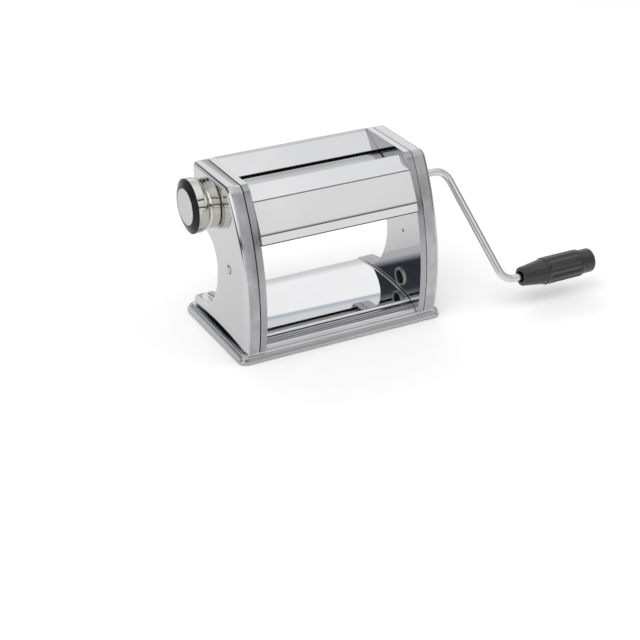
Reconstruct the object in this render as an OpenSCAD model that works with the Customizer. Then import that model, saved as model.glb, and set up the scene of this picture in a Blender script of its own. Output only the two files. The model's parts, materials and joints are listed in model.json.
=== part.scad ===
// Hand-cranked pasta roller machine.
// X runs along the rollers towards the crank, Y to the back, Z up.
// The origin is the middle of the base's underside, where the feet stand.
// All sizes are in millimetres.

/* [Frame] */
// Clear width between the two inner frame plates
roller_space = 150.2; // [120:0.2:180]
// Depth of a frame plate, from its web to the edge of its turned rim
frame_depth = 5.9; // [5:0.1:7]
// Open seam between a frame plate's rim and the side cover
seam_gap = 0.8; // [0.4:0.1:1]
// Depth of a side cover along X
cover_depth = 12.9; // [12.5:0.1:18]
// Width of the side cover's rounded outer edge
cover_edge = 4.4; // [2:0.2:5]
// Sheet thickness of the frame plates
web_t = 1.6; // [1.2:0.1:1.8]
// Sheet thickness of the side covers
cover_t = 1.2; // [1:0.1:1.4]

/* [Side outline] */
// Height of the side plates' flat top above the table
side_top = 152; // [148:1:160]
// Radius of the long curved front edge
side_front_r = 200; // [180:5:240]
// Foremost point of the front edge
side_front_y = -62; // [-64:0.5:-60]
// Depth of that foremost point below the sides' flat top
side_front_drop = 107; // [102:1:112]
// Upper back edge
side_back_y = 42; // [41:0.5:46]
// Back end of the rear foot
side_foot_y = 51.5; // [50:0.5:54]
// Height of the rear foot at its back end
side_foot_z = 17.4; // [16:0.2:19]
// Slope of the rear foot's top, in degrees
side_foot_slope = 10.5; // [8:0.5:12]
// Radius of the upper front corner
corner_front_r = 10; // [8:1:12]
// Radius of the upper back corner
corner_back_r = 5; // [3:1:6]
// Foremost point of the cut-out behind the legs
cutout_y = -2.3; // [-5:0.5:0]
// Depth of that point below the sides' flat top
cutout_drop = 83.5; // [82:0.5:86]
// Radius of the cut-out above that point
cutout_upper_r = 26; // [24:0.5:27]
// Radius of the cut-out below that point
cutout_lower_r = 55; // [52:1:56]
// Rise of the shallow arch under each side
arch_rise = 3.4; // [2:0.2:4]

/* [Base] */
// Height of the base's top ledge, on which the sides stand
ledge_z = 9.1; // [8.5:0.1:10]
// Width of the stepped skirt outside the side covers
skirt_w = 5.3; // [5:0.1:8]
// Base edge in front of the foremost foot
base_front_y = -61; // [-63:0.5:-60.5]
// Back edge of the base
base_back_y = 60.5; // [60:0.5:64]
// Corner radius of the base
base_corner_r = 8; // [7.5:0.5:10]
// Sheet thickness of the base and the tray
base_t = 1.2; // [1:0.1:1.5]
// Gap between the skirt and the table
skirt_gap = 0.8; // [0.5:0.1:1.5]
// Height of the domed tray's crown
tray_top = 21.3; // [20:0.1:23]
// Radius of the tray's dome
tray_r = 240; // [200:10:300]
// Front edge of the tray
tray_front_y = -46; // [-47:0.5:-44]
// Back edge of the tray
tray_back_y = 49.6; // [48:0.2:50]
// Radius of a rubber foot
foot_r = 6.5; // [5:0.5:7]

/* [Rollers] */
// Roller diameter
roller_d = 30; // [28:0.5:31]
// Depth of both roller axes below the sides' flat top
roller_drop = 29.5; // [29:0.5:30.5]
// Front roller and crank axis
front_roller_y = -18; // [-19:0.5:-17.5]
// Nip at the widest setting
gap_open = 2.8; // [2.6:0.1:3]
// Nip at the tightest setting
gap_closed = 0.5; // [0.4:0.1:0.8]
// Journal diameter of the roller shafts
journal_d = 16; // [14:0.5:16]
// Shaft diameter under the gears
gear_seat_d = 14; // [13:0.5:14]
// Number of teeth on each roller gear
gear_teeth = 10; // [9:1:10]
// Face width of the gears
gear_w = 7; // [5:0.5:7]
// Depth to which the teeth reach past half the tightest centre distance
tooth_reach = 2.65; // [2.3:0.05:2.8]

/* [Hoods] */
// Sheet thickness of the hoods
hood_t = 1; // [0.8:0.1:1.2]
// Ridge of the front hood beside the feed opening, front to back
ridge_y = -22; // [-23:0.5:-21]
// Depth of the ridge below the sides' flat top
ridge_drop = 3.5; // [3:0.1:4.5]
// Fold between the front hood's shoulder and its face, front to back
fold_y = -38.2; // [-39:0.1:-37.5]
// Depth of the fold below the sides' flat top
fold_drop = 12.4; // [12:0.1:13]
// Bottom edge of the front hood, front to back
hem_y = -54.6; // [-55:0.1:-54]
// Depth of the bottom edge below the sides' flat top
hem_drop = 46.8; // [46:0.1:48]
// Upper edge of the sloped feed plate, front to back
feed_y = 40; // [39.5:0.1:40.2]
// Depth of that edge below the sides' flat top
feed_drop = 0.8; // [0.6:0.1:1.4]

/* [Thickness knob] */
// Knob axis, front to back
knob_y = 14.5; // [14:0.1:15]
// Knob barrel radius
knob_r = 24; // [22:0.5:25]
// Knob barrel length
knob_len = 10; // [9:0.5:12]
// Depth of the bevelled ring
bevel_len = 3.1; // [2.5:0.1:4]
// Radius of the knob's end disc
cap_r = 17.4; // [15:0.2:18]
// Radius of the fixed collar at the side cover
collar_r = 22; // [21.5:0.5:23]
// Radius of the waist where the knob meets the collar
waist_r = 21; // [20:0.5:21.4]
// Length of the fixed collar
collar_len = 5.8; // [5.6:0.1:6.4]
// Number of thickness settings
settings = 7; // [5:1:9]
// Turn of the knob between two settings, in degrees
setting_step = 30; // [20:1:30]
// Radius of the follower pin
follower_r = 1.5; // [1.2:0.1:1.6]

/* [Crank] */
// Diameter of the crank rod
rod_d = 6.8; // [6:0.2:7.2]
// Arm length, square to the crank axis
crank_reach = 109; // [90:1:130]
// How far the arm leans outwards along X
crank_lean = 33.2; // [25:0.2:45]
// Where the arm's line leaves the crank axis, outside the side cover
crank_out = 28.6; // [25:0.2:40]
// Centre-line radius of the rod's bends
crank_bend_r = 14; // [12:0.5:18]
// How far the arm swings forward from hanging straight down, in degrees
crank_angle = 31; // [0:1:60]
// Depth of the rod inside the front roller's socket
crank_insert = 28; // [20:1:36]

/* [Grip] */
// Gap between the arm's line and the grip's inner end
grip_gap = 17.8; // [15:0.2:24]
// Length of the grip's tapered neck
grip_neck = 23.5; // [18:0.5:28]
// Length of the fluted barrel
grip_barrel = 39.7; // [30:0.5:50]
// Length of the end cap
grip_cap_len = 13.5; // [10:0.5:18]
// Radius at the inner end
grip_neck_r = 8.7; // [7.5:0.1:9.5]
// Radius of the barrel
grip_r = 12.6; // [11.5:0.1:14]
// Radius of the end cap
grip_cap_r = 11.2; // [10:0.1:11.4]
// Number of flutes
flutes = 10; // [6:1:12]

/* [Clamp socket] */
// Bore radius of the socket for the table clamp
socket_r = 6.2; // [5:0.1:7]
// Height of the socket
socket_z = 32; // [28:0.5:36]
// Socket axis, front to back
socket_y = -28; // [-32:0.5:-24]

/* [Fits] */
// Radial clearance of a running shaft
run_fit = 0.05; // [0.02:0.01:0.09]
// Clearance of sliding faces
slide_fit = 0.15; // [0.1:0.01:0.25]
// Clearance between separate bodies
part_gap = 0.4; // [0.3:0.05:0.5]

/* [Hidden] */
$fn = 96;
eps = 0.01;

// Stations along X, measured from the middle of the machine
web_x = roller_space / 2;
rim_x = web_x + frame_depth;
cover_x = rim_x + seam_gap;
face_x = cover_x + cover_depth;
base_x = face_x + skirt_w;

// Heights that follow the sides' flat top
roller_z = side_top - roller_drop;
cutout_z = side_top - cutout_drop;
side_front_z = side_top - side_front_drop;

// Rollers
roller_r = roller_d / 2;
journal_r = journal_d / 2;
seat_r = gear_seat_d / 2;
rear_roller_y = front_roller_y + roller_d + gap_open;
gap_travel = gap_open - gap_closed;
roller_end_x = web_x - part_gap;
bush_t = 2.4;
bush_flange_t = 1;
bush_flange_r = journal_r + bush_t + 1.6;
plate_gap = 0.3;
carriage_t = 4;
carriage_x = web_x + web_t + plate_gap;
carriage_out_x = carriage_x + carriage_t;
gear_x = carriage_out_x + bush_flange_t + 1.3;
groove_x = gear_x + gear_w + 0.1;
groove_w = 1.1;
groove_depth = 1;
shaft_end_x = face_x - cover_t - 0.9;

// Gears: the tips and roots are set by the tightest centre distance
centre_closed = roller_d + gap_closed;
gear_tip_r = centre_closed / 2 + tooth_reach;
gear_root_r = centre_closed - gear_tip_r - part_gap;

// Adjuster, measured outwards along -X from the left side
travel_angle = (settings - 1) * setting_step;
disc_gap = 0.4;
disc_x = carriage_out_x + bush_flange_t + disc_gap + 1;
disc_t = 4;
groove_out_r = bush_flange_r + follower_r + 0.1 + rear_roller_y - knob_y;
disc_r = groove_out_r + follower_r + 2.2;
groove_floor = 1.4;
shaft_r = 6;
hex_r = 5.2;
collar_floor = 1.5;
knob_x = face_x + collar_len + part_gap;
knob_end_x = knob_x + knob_len;
knob_floor = 3;
spring_wire = 0.9;
washer_x = knob_end_x - 0.2;
index_orbit = 14;
index_r = 1.5;
index_angle = -90;
index_axis = [knob_y, roller_z] + index_orbit * [cos(index_angle), sin(index_angle)];
groove_end = 14;

// Crank and grip, along the crank axis and square to it
arm_x = face_x + crank_out;
grip_axis_x = arm_x + crank_lean;
arm_turn = atan2(crank_reach, crank_lean);
bend_reach = crank_bend_r * tan(arm_turn / 2);
rod_r = rod_d / 2;
grip_x = grip_axis_x + grip_gap;
grip_step_x = grip_x + grip_neck;
grip_cap_x = grip_step_x + grip_barrel;
grip_end_x = grip_cap_x + grip_cap_len;
grip_y = front_roller_y - crank_reach * sin(crank_angle);
grip_z = roller_z - crank_reach * cos(crank_angle);
washer_t = 1.5;
grip_cavity_r = 7;
grip_cavity_len = 5;

// Side outline helpers
front_cy = side_front_y + side_front_r;
corner_front = [front_cy - sqrt(pow(side_front_r - corner_front_r, 2)
    - pow(side_top - corner_front_r - side_front_z, 2)), side_top - corner_front_r];
corner_back = [side_back_y - corner_back_r, side_top - corner_back_r];
cutout_upper = [cutout_y + cutout_upper_r, cutout_z];
cutout_lower = [cutout_y + cutout_lower_r, cutout_z];
arch_front_y = -52;
arch_back_y = 46;
arch_half = (arch_back_y - arch_front_y) / 2;
arch_r = (arch_half * arch_half + arch_rise * arch_rise) / (2 * arch_rise);
arch_mid_y = (arch_front_y + arch_back_y) / 2;

// Places of the small parts, as [y, z]
front_axis = [front_roller_y, roller_z];
rear_axis = [rear_roller_y, roller_z];
knob_axis = [knob_y, roller_z];
socket_axis = [socket_y, socket_z];
front_rod = [hem_y + 13.1, roller_z - 4];
rear_rod = [side_back_y - 6.2, roller_z + 21.5];
bar_axis = [side_back_y - 6.2, roller_z - 10.5];
follower_axis = [knob_y + groove_out_r, roller_z];
tie_r = 3;
nut_r = 4.6;
nut_t = 3.2;
bar_r = 2.5;
post_r = 3.6;
post_axes = [[front_roller_y - 12, roller_z - 44], [side_front_y + 28, side_top / 3],
    [front_roller_y + 10, side_top - cover_t - 0.6 * cover_edge - post_r - 1]];
foot_lug = 5.5;
front_lug_y = base_front_y + 5.5;
back_lug_y = base_back_y - 15;

// Screws, rivets and ferrules
screw_r = 1.5;
screw_head_r = 2.8;
screw_head_t = 2.2;
screw_x = web_x + web_t + (frame_depth - web_t) / 2;
ferrule_t = 1.2;
crank_hole_r = 8;
pin_r = 1.5;
pin_len = 10;
pin_slot = 4;
bush_hole_r = shaft_r + 3;
rivet_r = 1.5;
rivet_head_r = 2.6;

// The stepped skirt's section: distance in from the edge, and height
skirt = [[0, skirt_gap], [0, 3], [0.5, 3.7], [1.4, 6.2], [1.9, 6.8], [2.7, 7.0], [3.4, 7.6],
    [3.7, 8.6], [4.4, ledge_z], [base_corner_r - 0.5, ledge_z]];

// Steps of the base in front of and behind the tray, between the frame plates
front_steps = [[-56.4, ledge_z - 0.3], [-55.2, 11.2], [-53.8, 12.3], [-52.3, 12.7], [-51.2, 14.2],
    [-49.6, 15.1], [-47.4, 15.3], [-47.4, ledge_z - 0.3]];
back_steps = [[51, ledge_z - 0.3], [51, 15.3], [53, 15.1], [54.4, 14.2], [55.2, 12.7], [56, ledge_z - 0.3]];
tray_mid_y = 5;
foot_x = base_x - 14.5;
foot_axes_y = [base_front_y + 16, base_back_y - 19];

// Hoods, as points of their bent sheets
hood_ridge = [ridge_y, side_top - ridge_drop];
hood_fold = [fold_y, side_top - fold_drop];
hood_hem = [hem_y, side_top - hem_drop];
hood_inner = [front_roller_y + 3.4, roller_z + roller_r + 1.9];
feed_nip = [rear_roller_y + 1.6, roller_z + roller_r + 0.9 + hood_t];
feed_top = [feed_y, side_top - feed_drop];
rear_wall_y = side_back_y - 1.1;
hood_end_x = web_x - part_gap / 2;
flange_t = 1.4;
rivet_axes = [hood_fold + [-1.4, -12.6], hood_hem + [8.2, 7.3],
    [rear_wall_y - hood_t - rivet_head_r - 0.1, roller_z + 7.5],
    [rear_wall_y - hood_t - rivet_head_r - 0.1, roller_z - 0.5]];
scraper_t = 1.2;
scraper_len = 17;
scraper_angle = 70;
scraper_gap = 0.35;
carriage_half_z = 14;
carriage_front_y = rear_roller_y - 16;
carriage_back_y = bar_axis[0] + 3.2;

// ---- helpers ----

// Extrudes a [y, z] outline from x over a length
module along_x(x, len) {
    translate([x, 0, 0]) rotate([90, 0, 90]) linear_extrude(len) children();
}

// Round bar or bore along X
module round_x(at, x, len, r) {
    translate([x, at[0], at[1]]) rotate([0, 90, 0]) cylinder(r = r, h = len);
}

// Mirrors to the left side
module both_sides() {
    children();
    mirror([1, 0, 0]) children();
}

function dir(a) = [cos(a), sin(a)];
function side_of(a, b) = let (d = b - a) [-d[1], d[0]] / norm(d);
function offset_point(p, i, t) =
    i == 0 ? p[0] + t * side_of(p[0], p[1]) :
    i == len(p) - 1 ? p[i] + t * side_of(p[i - 1], p[i]) :
    let (s = side_of(p[i - 1], p[i]) + side_of(p[i], p[i + 1])) p[i] + 2 * t * s / (s * s);

// Bent sheet metal: the line's points, with the sheet's thickness on its left
module sheet(p, t) {
    polygon(concat(p, [for (i = [len(p) - 1:-1:0]) offset_point(p, i, t)]));
}

// Arc points about a centre
function arc(c, r, a0, a1, n) = [for (i = [0:n]) c + r * dir(a0 + (a1 - a0) * i / n)];

// Solid through side outlines, each at its own x
module side_loft(stations, outlines) {
    n = len(outlines[0]);
    last = len(stations) - 1;
    points = [for (i = [0:last], p = outlines[i]) [stations[i], p[0], p[1]]];
    sides = [for (i = [0:last - 1], j = [0:n - 1]) let (k = (j + 1) % n)
        each [[i * n + j, i * n + k, (i + 1) * n + k], [i * n + j, (i + 1) * n + k, (i + 1) * n + j]]];
    inner_cap = [for (f = cap_faces) [for (k = [0:len(f) - 1]) f[(len(f) - k) % len(f)]]];
    outer_cap = [for (f = cap_faces) [for (k = f) last * n + k]];
    polyhedron(points, concat(sides, inner_cap, outer_cap));
}

// ---- side outline, inset by o, as [y, z] points ----

function foot_line(o, y) = side_foot_z - o + (side_foot_y - y) * tan(side_foot_slope);

// Where the cut-out's lower curve runs out on the foot's sloping top, as an angle
function foot_angle(o) = let (
    slope = tan(side_foot_slope),
    drop = foot_line(o, cutout_lower[0]) - cutout_z,
    reach = cutout_lower_r + o,
    u = (drop * slope - sqrt(pow(drop * slope, 2) - (1 + slope * slope) * (drop * drop - reach * reach)))
        / (1 + slope * slope))
    360 + atan2(drop - u * slope, u);

function arch_points(o) = let (
    reach = arch_r + o,
    end = acos((arch_r - arch_rise + o) / reach))
    arc([arch_mid_y, ledge_z + arch_rise - arch_r], reach, 90 - end, 90 + end, arch_steps);

// Segments along each stretch of the outline, and the index where each stretch ends
leg_steps = 27;
front_steps_n = leg_steps + 3;
fillet_steps = 8;
back_steps_n = 6;
upper_steps = 14;
lower_steps = leg_steps - upper_steps - 1;
arch_steps = 12;
cut_first = front_steps_n + fillet_steps + back_steps_n + 4;
cut_last = cut_first + leg_steps;
outline_last = cut_last + arch_steps + 3;

// The outline's area as faces: the head, a strip down the leg, and the foot
cap_faces = concat(
    [[for (i = [leg_steps:cut_first]) i]],
    [for (i = [0:leg_steps - 1])
        each [[i, i + 1, cut_last - i - 1], [i, cut_last - i - 1, cut_last - i]]],
    [[each [for (i = [cut_last:outline_last]) i], 0]]);

function side_points(o = 0) = let (
    front_reach = side_front_r - o,
    turn = atan2(corner_front[1] - side_front_z, corner_front[0] - front_cy),
    heel = side_foot_y - o,
    low = ledge_z + o)
    concat(
        arc([front_cy, side_front_z], front_reach, 180 + asin((side_front_z - low) / front_reach), turn,
            front_steps_n),
        arc(corner_front, max(corner_front_r - o, 0.5), turn - 6, 90, fillet_steps),
        arc(corner_back, max(corner_back_r - o, 0.5), 90, 0, back_steps_n),
        [[side_back_y - o, cutout_z + cutout_upper_r + o]],
        arc(cutout_upper, cutout_upper_r + o, 90, 180, upper_steps),
        arc(cutout_lower, cutout_lower_r + o, 183, foot_angle(o), lower_steps),
        [[heel, max(foot_line(o, heel), low + 0.5)], [heel, low]],
        arch_points(o));

// ---- frame ----

module frame_plate() {
    difference() {
        union() {
            difference() {
                along_x(web_x, frame_depth) polygon(side_points());
                along_x(web_x + web_t, frame_depth) polygon(side_points(web_t));
            }
            for (y = [front_lug_y, back_lug_y])
                translate([web_x + web_t - eps, y, ledge_z + web_t - eps])
                    cube([frame_depth - web_t, foot_lug, foot_lug]);
        }
        round_x(front_axis, web_x - 1, 4, journal_r + bush_t + run_fit);
        carriage_window(rear_axis, journal_r + bush_t);
        carriage_window(bar_axis, bar_r);
        round_x(front_rod, web_x - 1, 4, tie_r - 0.5 + run_fit);
        round_x(rear_rod, web_x - 1, 4, tie_r - 0.5 + run_fit);
        for (p = rivet_axes) round_x(p, web_x - 1, 4, rivet_r + run_fit);
        for (y = [front_lug_y, back_lug_y])
            translate([screw_x, y + foot_lug / 2, ledge_z - 1]) cylinder(r = screw_r + run_fit, h = foot_lug + 2.6);
        round_x(post_axes[0], web_x - 1, web_t + 1.4, screw_r);
    }
}

// Window in the web that lets a part of the carriage slide with its travel
module carriage_window(at, r) {
    w = r + part_gap;
    round_x(at, web_x - 1, 4, w);
    round_x([at[0] - gap_travel, at[1]], web_x - 1, 4, w);
    translate([web_x - 1, at[0] - gap_travel, at[1] - w]) cube([4, gap_travel, 2 * w]);
}

module left_frame_plate() {
    color([0.80, 0.80, 0.81]) mirror([1, 0, 0]) frame_plate();
}

module right_frame_plate() {
    color([0.80, 0.80, 0.81]) difference() {
        frame_plate();
        round_x(socket_axis, web_x - 1, 4, socket_r + ferrule_t + run_fit);
    }
}

// Side cover: a pressed shell with a rounded edge all round its outer face
module side_cover_shell() {
    edge_x = face_x - cover_edge;
    inner_edge = cover_t + 0.6 * cover_edge;
    difference() {
        side_loft([cover_x, edge_x, face_x - 0.45 * cover_edge, face_x - 0.12 * cover_edge, face_x],
            [side_points(), side_points(), side_points(0.15 * cover_edge), side_points(0.55 * cover_edge),
            side_points(cover_edge)]);
        side_loft([cover_x - 1, edge_x, face_x - cover_t],
            [side_points(cover_t), side_points(cover_t), side_points(inner_edge)]);
    }
}

module left_side_cover() {
    color([0.84, 0.84, 0.85]) mirror([1, 0, 0]) difference() {
        side_cover_shell();
        round_x(knob_axis, face_x - cover_t - 1, cover_t + 2, bush_hole_r);
        round_x(post_axes[0], face_x - cover_t - 1, cover_t + 2, screw_r + run_fit);
    }
}

module right_side_cover() {
    color([0.84, 0.84, 0.85]) difference() {
        side_cover_shell();
        round_x(front_axis, face_x - cover_t - 1, cover_t + 2, crank_hole_r + ferrule_t + run_fit);
        round_x(post_axes[0], face_x - cover_t - 1, cover_t + 2, screw_r + run_fit);
    }
}

// Posts between the web and the side cover, and the screws into them
module cover_posts() {
    color([0.6, 0.6, 0.62]) both_sides() difference() {
        for (p = post_axes)
            round_x(p, web_x + web_t, face_x - cover_t - web_x - web_t, post_r);
        round_x(post_axes[0], face_x - cover_t - 6, 8, screw_r + run_fit);
    }
}

module cover_screws() {
    length = 5;
    head_t = 1.2;
    head_r = 3.2;
    slot = 1;
    color([0.7, 0.7, 0.72]) both_sides() {
        round_x(post_axes[0], face_x - cover_t - length, cover_t + length, screw_r);
        difference() {
            round_x(post_axes[0], face_x, head_t, head_r);
            translate([face_x + head_t - 0.7, post_axes[0][0] - slot / 2, post_axes[0][1] - head_r - 1])
                cube([1, slot, 2 * head_r + 2]);
        }
    }
}

module frame_screws() {
    color([0.6, 0.6, 0.62]) for (sx = [-1, 1], y = [front_lug_y, back_lug_y])
        translate([sx * screw_x, y + foot_lug / 2, 0]) {
            translate([0, 0, ledge_z - base_t - screw_head_t]) cylinder(r = screw_head_r, h = screw_head_t);
            translate([0, 0, ledge_z - base_t - eps]) cylinder(r = screw_r, h = foot_lug + 2);
        }
}

module tie_rods() {
    end_x = web_x + web_t + nut_t + 0.8;
    color([0.7, 0.7, 0.72]) for (at = [front_rod, rear_rod]) {
        round_x(at, -web_x, 2 * web_x, tie_r);
        round_x(at, -end_x, 2 * end_x, tie_r - 0.5);
    }
}

module tie_rod_nuts() {
    color([0.6, 0.6, 0.62]) both_sides() for (at = [front_rod, rear_rod]) difference() {
        translate([web_x + web_t, at[0], at[1]]) rotate([0, 90, 0])
            cylinder(r = nut_r, h = nut_t, $fn = 6);
        round_x(at, web_x, web_t + nut_t + 2, tie_r - 0.5 + run_fit);
    }
}

module hood_rivets() {
    color([0.7, 0.7, 0.72]) both_sides() for (p = rivet_axes) {
        round_x(p, hood_end_x - flange_t - 1, web_x + web_t - hood_end_x + flange_t + 1, rivet_r);
        round_x(p, hood_end_x - flange_t - 1, 1, rivet_head_r);
    }
}

// ---- base ----

module skirt_section() {
    translate([base_corner_r, 0]) mirror([1, 0]) sheet(skirt, -base_t);
}

module base_ring() {
    r = base_corner_r;
    lx = base_x - r;
    y0 = base_front_y + r;
    y1 = base_back_y - r;
    for (c = [[lx, y1, 0], [-lx, y1, 90], [-lx, y0, 180], [lx, y0, 270]])
        translate([c[0], c[1], 0]) rotate(c[2]) rotate_extrude(angle = 90) skirt_section();
    for (c = [[lx, y0, 0, y1 - y0], [-lx, y1, 180, y1 - y0], [lx, y1, 90, 2 * lx], [-lx, y0, 270, 2 * lx]])
        translate([c[0], c[1], 0]) rotate(c[2]) translate([0, c[3], 0]) rotate([90, 0, 0])
            linear_extrude(c[3]) skirt_section();
}

module base_plate() {
    width = roller_space - 2 * part_gap;
    color([0.80, 0.80, 0.80]) difference() {
        union() {
            base_ring();
            translate([-base_x + base_corner_r - 1, base_front_y + base_corner_r - 1, ledge_z - base_t])
                cube([2 * (base_x - base_corner_r + 1), base_back_y - base_front_y - 2 * base_corner_r + 2, base_t]);
            along_x(-width / 2, width) sheet(front_steps, -base_t);
            along_x(-width / 2, width) sheet(back_steps, -base_t);
        }
        for (sx = [-1, 1], y = [front_lug_y, back_lug_y])
            translate([sx * screw_x, y + foot_lug / 2, 0]) cylinder(r = screw_r + run_fit, h = 20);
    }
}

module tray() {
    width = roller_space - 3 * part_gap;
    color([0.9, 0.9, 0.92]) along_x(-width / 2, width) {
        intersection() {
            difference() {
                translate([tray_mid_y, tray_top - tray_r]) circle(r = tray_r, $fn = 360);
                translate([tray_mid_y, tray_top - tray_r]) circle(r = tray_r - base_t, $fn = 360);
            }
            translate([tray_front_y, ledge_z]) square([tray_back_y - tray_front_y, 30]);
        }
        for (y = [tray_front_y, tray_back_y - base_t])
            intersection() {
                translate([tray_mid_y, tray_top - tray_r]) circle(r = tray_r - base_t / 2, $fn = 360);
                translate([y, ledge_z]) square([base_t, 20]);
            }
    }
}

module base_feet() {
    color([0.12, 0.12, 0.12]) for (sx = [-1, 1], y = foot_axes_y)
        translate([sx * foot_x, y, 0]) cylinder(r = foot_r, h = ledge_z - base_t);
}

// ---- hoods ----

module front_hood() {
    color([0.85, 0.85, 0.86]) {
        along_x(-hood_end_x, 2 * hood_end_x) {
            sheet([hood_hem, hood_fold, hood_ridge, hood_inner], -hood_t);
            translate(hood_hem + [0.9, 0.4]) circle(r = 1);
        }
        hood_flanges() polygon([hood_hem + [0.8, 2], hood_fold + [0.8, -0.6], hood_fold + [6, -2],
            hood_fold + [2, -14], hood_hem + [10, 4], hood_hem + [6, 1]]);
    }
}

// Folded end flanges, with holes for the rivets and the front tie rod
module hood_flanges() {
    difference() {
        both_sides() along_x(hood_end_x - flange_t, flange_t) children();
        round_x(front_rod, -web_x, 2 * web_x, tie_r + slide_fit);
        for (p = rivet_axes) round_x(p, -web_x, 2 * web_x, rivet_r + run_fit);
    }
}

module rear_hood() {
    wall_end = [rear_wall_y, roller_z - 16.5];
    hem = wall_end + [-3.4, -5.5];
    color([0.85, 0.85, 0.86]) {
        along_x(-hood_end_x, 2 * hood_end_x) {
            sheet([feed_nip, feed_top, [rear_wall_y - 0.2, feed_top[1] - 1.6], [rear_wall_y, feed_top[1] - 4],
                wall_end, hem], -hood_t);
            translate(feed_top + [-0.3, -0.8]) circle(r = 1.3);
            translate(hem + [-0.5, 0.4]) circle(r = 1);
        }
        hood_flanges() translate([rear_wall_y - 6.2, roller_z - 5.5]) square([5.8, 18]);
    }
}

// Scraper blade for a roller in front: rides close under it, and clips round a rod
module scraper(axis, rod, rod_r) {
    clip = rod_r + run_fit;
    tip = axis + (roller_r + scraper_gap) * [cos(scraper_angle), -sin(scraper_angle)];
    heel = tip + scraper_len * [-sin(scraper_angle), -cos(scraper_angle)];
    reach = (heel - rod) / norm(heel - rod);
    len = roller_space - 5;
    along_x(-len / 2, len) difference() {
        union() {
            sheet([tip, heel, rod + (clip + 0.5) * reach], scraper_t);
            translate(rod) circle(r = clip + scraper_t);
        }
        translate(rod) circle(r = clip);
    }
}

module front_scraper() {
    color([0.9, 0.9, 0.88]) scraper(front_axis, front_rod, tie_r);
}

module rear_scraper() {
    color([0.9, 0.9, 0.88]) mirror([0, 1, 0])
        scraper([-rear_axis[0], rear_axis[1]], [-bar_axis[0], bar_axis[1]], bar_r);
}

// ---- bearings, carriage ----

module flanged_bush(at, sx, x0, x1, flange_x) {
    bore = journal_r + run_fit;
    mirror([sx < 0 ? 1 : 0, 0, 0]) difference() {
        union() {
            round_x(at, x0, x1 - x0, journal_r + bush_t);
            round_x(at, flange_x, bush_flange_t, bush_flange_r);
        }
        round_x(at, x0 - 1, x1 - x0 + 3, bore);
    }
}

module front_bushes() {
    color([0.75, 0.6, 0.3]) for (sx = [-1, 1])
        flanged_bush(front_axis, sx, web_x, web_x + web_t + 3.4, web_x + web_t);
}

module carriage_bushes() {
    color([0.75, 0.6, 0.3]) for (sx = [-1, 1])
        flanged_bush(rear_axis, sx, web_x, carriage_out_x, carriage_out_x);
}

module carriage() {
    difference() {
        translate([carriage_x, carriage_front_y, roller_z - carriage_half_z])
            cube([carriage_t, carriage_back_y - carriage_front_y, 2 * carriage_half_z]);
        round_x(rear_axis, carriage_x - 1, carriage_t + 2, journal_r + bush_t + run_fit);
        round_x(bar_axis, carriage_x - 1, carriage_t + 2, bar_r + run_fit);
    }
}

module right_carriage() {
    color([0.55, 0.55, 0.57]) carriage();
}

module left_carriage() {
    color([0.55, 0.55, 0.57]) difference() {
        mirror([1, 0, 0]) carriage();
        round_x(follower_axis, -carriage_out_x - 1, carriage_t + 2, follower_r + run_fit);
    }
}

module carriage_bar() {
    reach = carriage_out_x;
    color([0.7, 0.7, 0.72]) round_x(bar_axis, -reach, 2 * reach, bar_r);
}

module follower_pin() {
    deep = disc_x + disc_t - groove_floor - disc_gap;
    color([0.7, 0.7, 0.72]) round_x(follower_axis, -deep, deep - carriage_x, follower_r);
}

// Rails above and below the carriages, with a lip that holds them to the web
module carriage_rails() {
    rail = 3.4;
    lip = 1.6;
    near = carriage_half_z + slide_fit;
    len = 28;
    color([0.55, 0.55, 0.57]) both_sides() for (s = [-1, 1])
        translate([0, carriage_front_y, roller_z]) {
            translate([web_x + web_t, 0, s > 0 ? near : -near - rail])
                cube([carriage_t + 2 * plate_gap, len, rail]);
            translate([carriage_out_x + plate_gap, 0, s > 0 ? near - lip : -near - rail])
                cube([0.9, len, rail + lip]);
        }
}

// ---- rollers, gears ----

module roller(axis, end_x) {
    difference() {
        union() {
            round_x(axis, -roller_end_x, 2 * roller_end_x, roller_r);
            round_x(axis, -carriage_out_x - bush_flange_t - 0.2, 2 * (carriage_out_x + bush_flange_t + 0.2), journal_r);
            round_x(axis, 0, end_x, seat_r);
        }
        // flat that carries the gear
        translate([gear_x - 1.1, axis[0] - seat_r, axis[1] + seat_r - 1.5]) cube([30, 2 * seat_r, 5]);
        difference() {
            round_x(axis, groove_x, groove_w, seat_r + 1);
            round_x(axis, groove_x - 1, groove_w + 2, seat_r - groove_depth);
        }
    }
}

module front_roller() {
    color([0.72, 0.73, 0.75]) difference() {
        roller(front_axis, shaft_end_x);
        round_x(front_axis, shaft_end_x - crank_insert - 2, 50, rod_r + slide_fit);
        translate([shaft_end_x - pin_slot, front_roller_y - pin_r - slide_fit, roller_z - pin_len / 2 - slide_fit])
            cube([pin_slot + 1, 2 * (pin_r + slide_fit), pin_len + 2 * slide_fit]);
    }
}

module rear_roller() {
    color([0.72, 0.73, 0.75]) roller(rear_axis, groove_x + groove_w + 1);
}

// One gear tooth: root, flank and tip, by half-thickness at each radius
function tooth(a, r, h) = r * dir(a + h / r * 180 / PI);
function gear_points(phase) = [for (k = [0:gear_teeth - 1])
    let (a = phase + 360 / gear_teeth * k, mid = (gear_tip_r + gear_root_r) / 2 + 0.55)
    each [tooth(a, gear_root_r, -2.4), tooth(a, mid, -1.6), tooth(a, gear_tip_r, -0.9),
        tooth(a, gear_tip_r, 0.9), tooth(a, mid, 1.6), tooth(a, gear_root_r, 2.4)]];

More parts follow.
